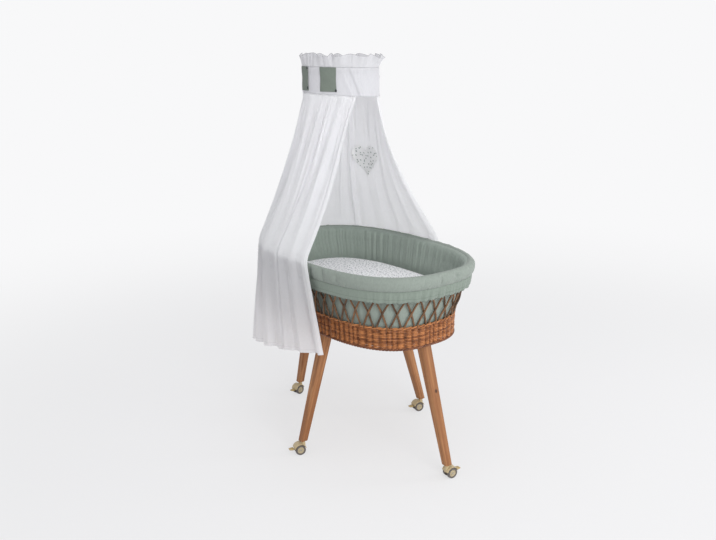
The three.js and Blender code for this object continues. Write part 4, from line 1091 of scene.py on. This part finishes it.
def leg_mesh(name, turn, reach, top_x, number):
    bm = bmesh.new()
    bmesh.ops.create_cube(bm, size=1)
    for vert in bm.verts:
        side, z = (LEG_TOP_SIDE, LEG_TOP) if vert.co.z > 0 else (LEG_FOOT_SIDE, LEG_FOOT)
        vert.co = Vector((vert.co.x * side, vert.co.y * side, z))
    round_edges(bm, long_edges(bm), LONG_ROUNDING, 5)
    round_edges(bm, sharp_edges(bm, 1.3), END_ROUNDING, 2)
    bmesh.ops.subdivide_edges(bm, edges=long_edges(bm), cuts=24, use_grid_fill=True)
    grain = bm.verts.layers.float_vector.new("grain")
    for vert in bm.verts:
        vert[grain] = vert.co + GRAIN_STEP * number
        vert.co.x += mix(reach, top_x, (vert.co.z - LEG_FOOT) / (LEG_TOP - LEG_FOOT))
    bmesh.ops.rotate(bm, verts=bm.verts, matrix=Matrix.Rotation(math.radians(turn), 3, "Z"))
    bmesh.ops.translate(bm, verts=bm.verts, vec=MIDDLE)
    return mesh_from(bm, name)


for number, (leg_name, (turn, reach, top_x)) in enumerate(LEGS.items()):
    mesh = leg_mesh(f"beech_leg_{leg_name}", turn, reach, top_x, number)
    leg = put(f"beech_leg_{leg_name}", mesh, leg_wood, "leg_wood", "basket", [f"leg_{leg_name}"])
print("legs", len(LEGS), "faces each", len(leg.data.polygons))

# %% [markdown]
# ## Castors
#
# A twin-wheel castor is a web between two wheels, a guard that wraps over them, and a boss that
# takes the stem. Each is modelled once about its own swivel axis, with small helpers that turn a
# profile round an axle or push an outline out to a thickness, and then placed under each leg at its
# own heading.

# %% Castor helpers
TRAIL, AXLE_HEIGHT = 0.014, 0.020
HEADINGS = {"foot": 83, "far": -102, "head": -82, "near": -107}


def spun(profile, axis, centre, segments=40):
    bm = bmesh.new()
    verts = [bm.verts.new(Vector(spot)) for spot in profile]
    edges = [bm.edges.new(pair) for pair in zip(verts, verts[1:])]
    geometry = verts + edges
    bmesh.ops.spin(
        bm, geom=geometry, cent=centre, axis=axis, angle=2 * math.pi, steps=segments, use_merge=True,
    )
    bmesh.ops.remove_doubles(bm, verts=bm.verts, dist=1e-6)
    bmesh.ops.recalc_face_normals(bm, faces=bm.faces)
    return bm


def pushed(outline, thickness, rounding=0.0008):
    bm = bmesh.new()
    face = bm.faces.new([bm.verts.new(Vector((x, -thickness / 2, z))) for x, z in outline])
    grown = bmesh.ops.extrude_face_region(bm, geom=[face])["geom"]
    moved = [item for item in grown if isinstance(item, bmesh.types.BMVert)]
    bmesh.ops.translate(bm, verts=moved, vec=(0, thickness, 0))
    bmesh.ops.recalc_face_normals(bm, faces=bm.faces)
    round_edges(bm, sharp_edges(bm, 0.9), rounding, 3)
    return bm


def arc(radius, start, end, steps):
    angles = np.radians(np.linspace(start, end, steps))
    return [(TRAIL + radius * math.cos(a), AXLE_HEIGHT + radius * math.sin(a)) for a in angles]


def gather_mesh(name, shapes):
    whole = bmesh.new()
    for shape in shapes:
        part = mesh_from(shape, "part")
        whole.from_mesh(part)
        bpy.data.meshes.remove(part)
    return mesh_from(whole, name)


# %% Profiles of a castor
GUARD_WIDTH, WEB_WIDTH, PEDAL_WIDTH = 0.0350, 0.0108, 0.0148
GUARD_OUTER, GUARD_INNER, WEB_OUTER, WEB_INNER = 0.0238, 0.0216, 0.0225, 0.0142
WEB_ROUNDING, PEDAL_ROUNDING = 0.0012, 0.0009
CREASE_ANGLE = math.radians(32)
BOSS = [
    (0.0, 0.034), (0.0078, 0.034), (0.0078, 0.0478), (0.007, 0.0490), (0.0048, 0.0490), (0.0048, 0.036),
]
NECK = [(-0.0078, 0.030), (0.016, 0.030), (0.016, 0.0425), (0.004, 0.0440), (-0.0078, 0.0440)]
TREAD = [
    (0.0130, 0.0068), (0.0188, 0.0066), (0.0198, 0.0078), (0.0200, 0.0100), (0.0200, 0.0142),
    (0.0194, 0.0166), (0.0182, 0.0176), (0.0130, 0.0172),
]
DISC = [
    (0.0026, 0.0062), (0.0132, 0.0064), (0.0132, 0.0164), (0.0122, 0.0168), (0.0108, 0.0156),
    (0.0080, 0.0154), (0.0066, 0.0172), (0.0040, 0.0176), (0.0026, 0.0170),
]
PEDAL = [
    (0.0383, 0.0205), (0.0383, 0.0272), (0.0420, 0.0276), (0.0500, 0.0266), (0.0552, 0.0256),
    (0.0566, 0.0243), (0.0545, 0.0226), (0.0470, 0.0212), (0.0418, 0.0205),
]
print("profile points:", len(BOSS) + len(NECK) + len(TREAD) + len(DISC) + len(PEDAL))


# %% Assemble the castors
def guard_shapes():
    over = arc(GUARD_OUTER, 16, 164, 30) + arc(GUARD_INNER, 164, 16, 30)
    web = arc(WEB_OUTER, 8, 172, 26) + arc(WEB_INNER, 188, 352, 20)
    return [
        pushed(over, GUARD_WIDTH),
        pushed(web, WEB_WIDTH, WEB_ROUNDING),
        pushed(NECK, WEB_WIDTH, WEB_ROUNDING),
        spun([(x, 0, z) for x, z in BOSS], (0, 0, 1), (0, 0, 0), 32),
    ]


def wheel_shapes(points):
    for side in (1, -1):
        profile = [(TRAIL + radius, side * out, AXLE_HEIGHT) for radius, out in points + points[:1]]
        yield spun(profile, (0, 1, 0), (TRAIL, 0, AXLE_HEIGHT))


def place_castor(mesh, leg_name):
    turn, reach, _ = LEGS[leg_name]
    foot = Matrix.Rotation(math.radians(turn), 4, "Z") @ Vector((reach, 0, 0))
    heading = Matrix.Rotation(math.radians(HEADINGS[leg_name]), 4, "Z")
    mesh.transform(Matrix.Translation(foot + MIDDLE) @ heading)
    return mesh


def castor_piece(title, leg_name, shapes, paint, slot_name, body, stands_for):
    name = f"{title}_{leg_name}"
    mesh = place_castor(gather_mesh(name, shapes), leg_name)
    put(
        name, mesh, paint, slot_name, f"{body}_{leg_name}",
        [f"{node_name}_{leg_name}" for node_name in stands_for],
    )
    mesh.set_sharp_from_angle(angle=CREASE_ANGLE)


for leg_name in LEG_NAMES:
    castor_piece(
        "castor_guard", leg_name, guard_shapes(), cream_plastic, "castor_plastic", "castor",
        ["castor_hood"],
    )
    for title, points, paint in (
        ("wheel_tread", TREAD, tread_rubber), ("wheel_disc", DISC, wheel_disc_plastic),
    ):
        castor_piece(
            title, leg_name, wheel_shapes(points), paint, "wheel_plastic", "wheels",
            ["wheel_left", "wheel_right"],
        )
    pedal = pushed(PEDAL, PEDAL_WIDTH, PEDAL_ROUNDING)
    castor_piece(
        "foot_pedal", leg_name, [pedal], pedal_plastic, "pedal_plastic", "pedal", ["brake_pedal"],
    )
print("castors with guard, treads, discs and pedal:", len(LEG_NAMES))

# %% [markdown]
# ## Canopy hoop and rod
#
# A steel tube rises behind the head end, leans over the basket and carries the hoop that the cloth
# is gathered on. Both are plain round tubes, so each is a curve with a bevel.

# %% Bend the hoop and the rod
HOOP_X, HOOP_RADIUS, HOOP_HEIGHT, HOOP_TUBE = -0.112, 0.133, 1.400, 0.0049
ROD_X, ROD_TOP_X, ROD_TUBE, ROD_BEND = -0.467, -0.243, 0.00695, 0.024
ROD_FOOT, ROD_CORNER_LOW, ROD_CORNER_HIGH, ROD_TOP = 0.4843, 0.770, 1.240, 1.3945


def hoop_point(angle, radius, z):
    x, y = MIDDLE.x + HOOP_X + radius * np.cos(angle), MIDDLE.y + radius * np.sin(angle)
    return np.stack([x, y, z + 0 * angle], axis=-1)


def rounded_path(corners, bend, steps=10):
    points = [corners[0]]
    for before, corner, after in zip(corners, corners[1:], corners[2:]):
        start = corner + (before - corner).normalized() * bend
        end = corner + (after - corner).normalized() * bend
        for step in range(steps + 1):
            t = step / steps
            points.append(start * (1 - t) ** 2 + corner * 2 * t * (1 - t) + end * t ** 2)
    return np.array(points + [corners[-1]])


hoop_path = hoop_point(np.linspace(0, 2 * math.pi, 96, endpoint=False), HOOP_RADIUS, HOOP_HEIGHT)
hoop_mesh = cane_mesh("gathering_hoop", [hoop_path], HOOP_TUBE, 12, closed=True)
put("gathering_hoop", hoop_mesh, white_enamel, "rod_metal", "canopy", ["canopy_hoop"])
rod_line = (
    (ROD_X, ROD_FOOT), (ROD_X, ROD_CORNER_LOW), (ROD_TOP_X, ROD_CORNER_HIGH), (ROD_TOP_X, ROD_TOP),
)
rod_corners = [MIDDLE + Vector((x, 0, z)) for x, z in rod_line]
rod_mesh = cane_mesh("bent_rod", [rounded_path(rod_corners, ROD_BEND)], ROD_TUBE, 16)
put("bent_rod", rod_mesh, white_enamel, "rod_metal", "canopy", ["canopy_rod"])
print("hoop and rod faces", len(hoop_mesh.polygons), len(rod_mesh.polygons))

# %% [markdown]
# ## Curtain
#
# The curtain is one long piece of voile, gathered at the top and open towards the foot end. It
# falls from the hoop to the rim, turns over the padded cover, and hangs free below it. Its shape is
# worked out in three steps: a free line from hoop to rim to hem, folds that cross that line, and a
# push outwards where the rod stands inside it.

# %% Lines of the curtain
CANOPY_TOP, SASH_TOP, SASH_BOTTOM, TURN_HEIGHT = 1.460, 1.414, 1.310, 0.770
LEFT_OF_VIEW = math.radians(233)
CLOTH_INSIDE = 0.1383
CURTAIN_START, CURTAIN_END = -13, 30 - 360
RIM_HALF, HEM_HALF = (0.464, 0.298), (0.501, 0.335)
RIM_CORNERS, HEM_CORNERS = (0.069, 0.093), (0.205, 0.110)
HEM_LOWEST, HEM_RISE = 0.330, 0.138
TURN_SOFTNESS = 0.016


def tilted(angle, height, tilt):
    return height + tilt * np.cos(angle - LEFT_OF_VIEW)


def sash_end(angle):
    return tilted(angle, SASH_BOTTOM + 0.008, 0.010)


def share_at_x(half_length, x):
    across = x / half_length
    along = (1 - abs(across) ** POWER) ** (1 / POWER)
    return float(np.interp(math.atan2(along, across), angle_table, share_table))


def edge_shares(half_length, near_x, far_x):
    return 1 - share_at_x(half_length, near_x), share_at_x(half_length, far_x)


RIM_EDGES = edge_shares(RIM_HALF[0], *RIM_CORNERS)
HEM_EDGES = edge_shares(HEM_HALF[0], *HEM_CORNERS)


def hem_height(share):
    return HEM_LOWEST + HEM_RISE * np.abs(1 - 2 * share) ** 1.3


def eased(distance):
    return (distance + np.sqrt(distance ** 2 + TURN_SOFTNESS ** 2)) / 2


def curtain_reach(share, z):
    high = clamp(eased(z - TURN_HEIGHT) / (SASH_BOTTOM - TURN_HEIGHT))
    low = clamp(eased(TURN_HEIGHT - z) / (TURN_HEIGHT - hem_height(share)))
    return high, low


def curtain_angle(share):
    return np.radians(mix(CURTAIN_START, CURTAIN_END, share))


def curtain_line(share, z):
    high, low = curtain_reach(share, z)
    angle = curtain_angle(share)
    radius = CLOTH_INSIDE + 0.0012
    rim_x, rim_y = oval(*RIM_HALF, mix(*RIM_EDGES, share))
    hem_x, hem_y = oval(*HEM_HALF, mix(*HEM_EDGES, share))
    x = mix(mix(rim_x, hem_x, low), HOOP_X + radius * np.cos(angle), high)
    y = mix(mix(rim_y, hem_y, low), radius * np.sin(angle), high)
    return x, y


HEART_SHARE, HEART_HEIGHT, HEART_WIDTH = 0.756, 1.046, 0.142


def curtain_folds(share, z):
    high, low = curtain_reach(share, z)
    held_flat = np.exp(-(((share - HEART_SHARE) / 0.075) ** 4) - ((z - HEART_HEIGHT) / 0.10) ** 4)
    depth = mix(mix(0.009, 0.015, low), 0.0008, high) + 0.026 * high * (1 - high) ** 1.5
    wander = share + 0.006 * np.sin(share * 23 + 4 * z)
    main = gathers(wander, 18, 40, 0.45)
    upper = 4 * high * (1 - high)
    second = gathers(share + 0.004 * np.sin(9 * z), 43, 41, 0.45) * (0.0034 * upper + 0.0040 * low)
    near_hoop = clamp(high * 1.6) * np.clip((1 - high) * 9, 0.25, 1)
    pleats = gathers(share, 27, 46, 0.45) * 0.0048 * near_hoop
    gathered = gathers(share, 95, 42) * 0.0010 * clamp((high - 0.55) / 0.45) + pleats
    ripple = gathers(share + 0.002 * np.sin(31 * z), 120, 43) * 0.0004 * (0.3 + low)
    folds = depth * main + second + gathered + ripple
    folds = folds + 0.005 * upper * gathers(share, 11, 44, 0.45)
    drawn_in = 0.022 + 0.016 * clamp((share - 0.72) / 0.28)
    clear_of_cover = clamp((np.abs(z - RIM_HEIGHT) - 0.035) / 0.04)
    return np.maximum(folds * (1 - 0.8 * held_flat) - drawn_in * upper, -0.003 - 0.08 * clear_of_cover)


def curtain_point(share, z, out=0.0, folds=None):
    step = 0.002
    x, y = curtain_line(share, z)
    next_x, next_y = curtain_line(np.minimum(1, share + step), z)
    last_x, last_y = curtain_line(np.maximum(0, share - step), z)
    away_x, away_y = -(next_y - last_y), next_x - last_x
    size = np.hypot(away_x, away_y)
    turn = np.where(away_x * (x - HOOP_X) + away_y * y < 0, -1, 1) / size
    away_x, away_y = away_x * turn, away_y * turn
    fold = curtain_folds(share, z) if folds is None else folds
    near_rod = np.where(x < HOOP_X, np.exp(-((y / 0.056) ** 4)), 0)
    lean = clamp((z - TURN_HEIGHT) / (ROD_CORNER_HIGH - TURN_HEIGHT))
    reach = x - (mix(ROD_X, ROD_TOP_X, lean) - 0.0132)
    fold = fold + near_rod * np.maximum(0, reach - fold) + out
    return np.stack([MIDDLE.x + x + away_x * fold, MIDDLE.y + y + away_y * fold, z + 0 * x], axis=-1)


print("the curtain meets the rim between shares", [round(value, 3) for value in RIM_EDGES])

# %% Hang the curtain
ABOVE_RIM = 0.56
CURTAIN_SIZE = (1.75, 0.98)
CURTAIN_GRID = ((440, 100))


def curtain_place(share, level):
    down = 1 - level
    above = mix(sash_end(curtain_angle(share)) - 0.0004, TURN_HEIGHT, down / ABOVE_RIM)
    below = mix(TURN_HEIGHT, hem_height(share), (down - ABOVE_RIM) / (1 - ABOVE_RIM))
    return curtain_point(share, np.where(down < ABOVE_RIM, above, below))


def curtain_edge(share, level):
    from_side = np.minimum(share, 1 - share) * mix(0.82, 1.9, 1 - level)
    return np.minimum(from_side, level * CURTAIN_SIZE[1])


curtain = sew(
    "voile_curtain", CURTAIN_GRID, curtain_place, CURTAIN_SIZE,
    (white_voile, "canopy_cloth", "canopy", ["curtain_near", "curtain_head", "curtain_far"]),
    thickness=0.0006, closed=False, edge=curtain_edge,
)

# %% [markdown]
# ## Sash and header
#
# The top of the cloth is sewn into a plain band with a frill above it. The band is pulled tight
# round the hoop, with creases where it was gathered in, and the frill stands up and flares, with a
# thin grey overlocked edge.

# %% Sew the sash and the header
TABS_MIDDLE, TABS_REACH = 281.3, 55
FRILL_CUT = (1.15, 0.046)


def sash_place(turn, level):
    angle = 2 * math.pi * turn
    z = mix(sash_end(angle), tilted(angle, SASH_TOP - 0.0004, 0.005), level)
    from_tabs = np.abs((np.degrees(angle) - TABS_MIDDLE + 180) % 360 - 180)
    free = 1 - np.exp(-((from_tabs / TABS_REACH) ** 6))
    slant = clamp(gathers(turn + 0.045 * level, 17, 71, 0.6)) ** 2
    slant = slant + 0.5 * clamp(gathers(turn - 0.03 * level ** 2, 23, 75, 0.6)) ** 3
    pull = gathers(turn, 70, 51) * (0.25 + 0.75 * level ** 2)
    rise = 0.0006 + free * (0.0062 * slant + 0.0009 * pull) + (1 - free) * 0.0003 * pull
    return hoop_point(angle, CLOTH_INSIDE + np.clip(rise, 0.0003, 0.0068), z)


def header_place(turn, level):
    angle = 2 * math.pi * turn
    wide = gathers(turn, 11, 67, 0.45)
    narrow = gathers(turn, 43, 62, 0.45)
    lean = 0.5 + 0.5 * np.cos(angle - math.radians(53))
    flare = (0.004 + 0.013 * lean) * level ** 1.2
    spread = flare + wide * 0.0105 * level ** 1.1 + narrow * (0.0009 + 0.0012 * level)
    z = tilted(angle, mix(SASH_TOP + 0.0002, CANOPY_TOP, level), 0.005)
    z = z - (0.0040 + 0.0085 * wide) * level ** 2
    swayed = angle + 0.03 * level * gathers(turn, 12, 63, 0.45)
    return hoop_point(swayed, CLOTH_INSIDE + 0.0022 + spread, z)


def header_edge(turn, level):
    return np.where(level > 0.85, (1 - level) * FRILL_CUT[1], 0.05)


sash = sew(
    "hoop_sash", (420, 28), sash_place, (0.88, 0.1),
    (sash_cloth, "canopy_cloth", "canopy", ["canopy_sash"]), thickness=0.0007,
)
frill = sew(
    "standing_frill", (560, 14), header_place, (1.1, FRILL_CUT[1]),
    (frill_cloth, "canopy_cloth", "canopy", ["canopy_header"]), thickness=0.0007,
    edge=header_edge,
)

# %% [markdown]
# ## Loops and heart
#
# Two sage tabs are sewn over the sash. Small dark studs at their edges stand for the shade in the
# openings of the loops: painted shade. A lined heart of printed cotton is sewn to the curtain's inner
# face. It is stiffer than the voile, so it lies on the crests of the folds in place of following each
# of them.

# %% Sew the tabs
LEFT_TAB, RIGHT_TAB = math.radians(-102.9), math.radians(-54.5)
TAB_CUT, TAB_RADIUS = (0.061, 0.084), 0.1414


def tab_place(middle_angle):
    def place(across, level):
        waist = 1 - 0.05 * np.sin(math.pi * level)
        angle = middle_angle + (across - 0.5) * TAB_CUT[0] / TAB_RADIUS * waist
        z = tilted(angle, mix(SASH_TOP - TAB_CUT[1], SASH_TOP - 0.0005, level), 0.006)
        crease = 0.0006 * np.sin(level * 9 + across * 5)
        return hoop_point(angle, TAB_RADIUS + 0.0010 + crease, z)
    return place


for number, middle_angle in enumerate((LEFT_TAB, RIGHT_TAB), 1):
    tab = sew(
        f"sage_tab_{number}", (24, 24), tab_place(middle_angle), TAB_CUT,
        (sage_tab_cloth, "sage_cloth", "canopy", [f"sash_loop_{number}"]), thickness=0.0011,
        closed=False,
    )

# %% Set the painted shade spots
# Small dark studs where the openings of the loops are in shade: painted shade.
SHADE_SPOT_RADIUS, SHADE_SPOT_REACH, SHADE_SPOT_SHAPE = 0.0042, 0.1433, (0.35, 0.9, 1.25)
SHADE_SPOTS = ((LEFT_TAB, 0.027, 1.4135), (LEFT_TAB, 0.0262, 1.345), (RIGHT_TAB, 0.028, 1.335))
shade_spot_shapes = []
for middle_angle, offset, height in SHADE_SPOTS:
    angle = middle_angle + offset / TAB_RADIUS
    ball = bmesh.new()
    bmesh.ops.create_uvsphere(ball, u_segments=16, v_segments=10, radius=SHADE_SPOT_RADIUS)
    bmesh.ops.scale(ball, vec=SHADE_SPOT_SHAPE, verts=ball.verts)
    bmesh.ops.rotate(ball, matrix=Matrix.Rotation(angle, 3, "Z"), verts=ball.verts)
    bmesh.ops.translate(ball, vec=Vector(hoop_point(angle, SHADE_SPOT_REACH, height)), verts=ball.verts)
    shade_spot_shapes.append(ball)
put("tab_shade_spots", gather_mesh("tab_shade_spots", shade_spot_shapes), shade_spot_paint, "sage_cloth", "canopy")
print("painted_shade_spots", len(shade_spot_shapes))


# %% Sew on the heart
def heart_place(turn, part):
    angle = 2 * math.pi * turn
    x = 16 * np.sin(angle) ** 3 / 32
    lobes = 13 * np.cos(angle) - 5 * np.cos(2 * angle)
    y = (lobes - 2 * np.cos(3 * angle) - np.cos(4 * angle) + 2.5) / 32
    width = HEART_WIDTH * part
    height = HEART_HEIGHT + y * width
    ends = HEART_SHARE + np.array([-0.01, 0.01])
    (low_x, high_x), (low_y, high_y) = curtain_line(ends, np.full(2, HEART_HEIGHT))
    per_share = math.hypot(high_x - low_x, high_y - low_y) / 0.020
    share = HEART_SHARE + x * width / per_share
    shifts = np.linspace(-0.012, 0.012, 9)
    crests = np.min([curtain_folds(share + shift, height) for shift in shifts], axis=0)
    return curtain_point(share, height, -0.0012 - 0.0012 * (1 - part ** 4), crests)


heart = sew(
    "heart_of_cotton", (72, 16), heart_place, (1, 1),
    (heart_print, "sheet_cloth", "canopy", ["heart_patch"]), thickness=0.0008,
)
lay_flat(heart.data, 0, 2)
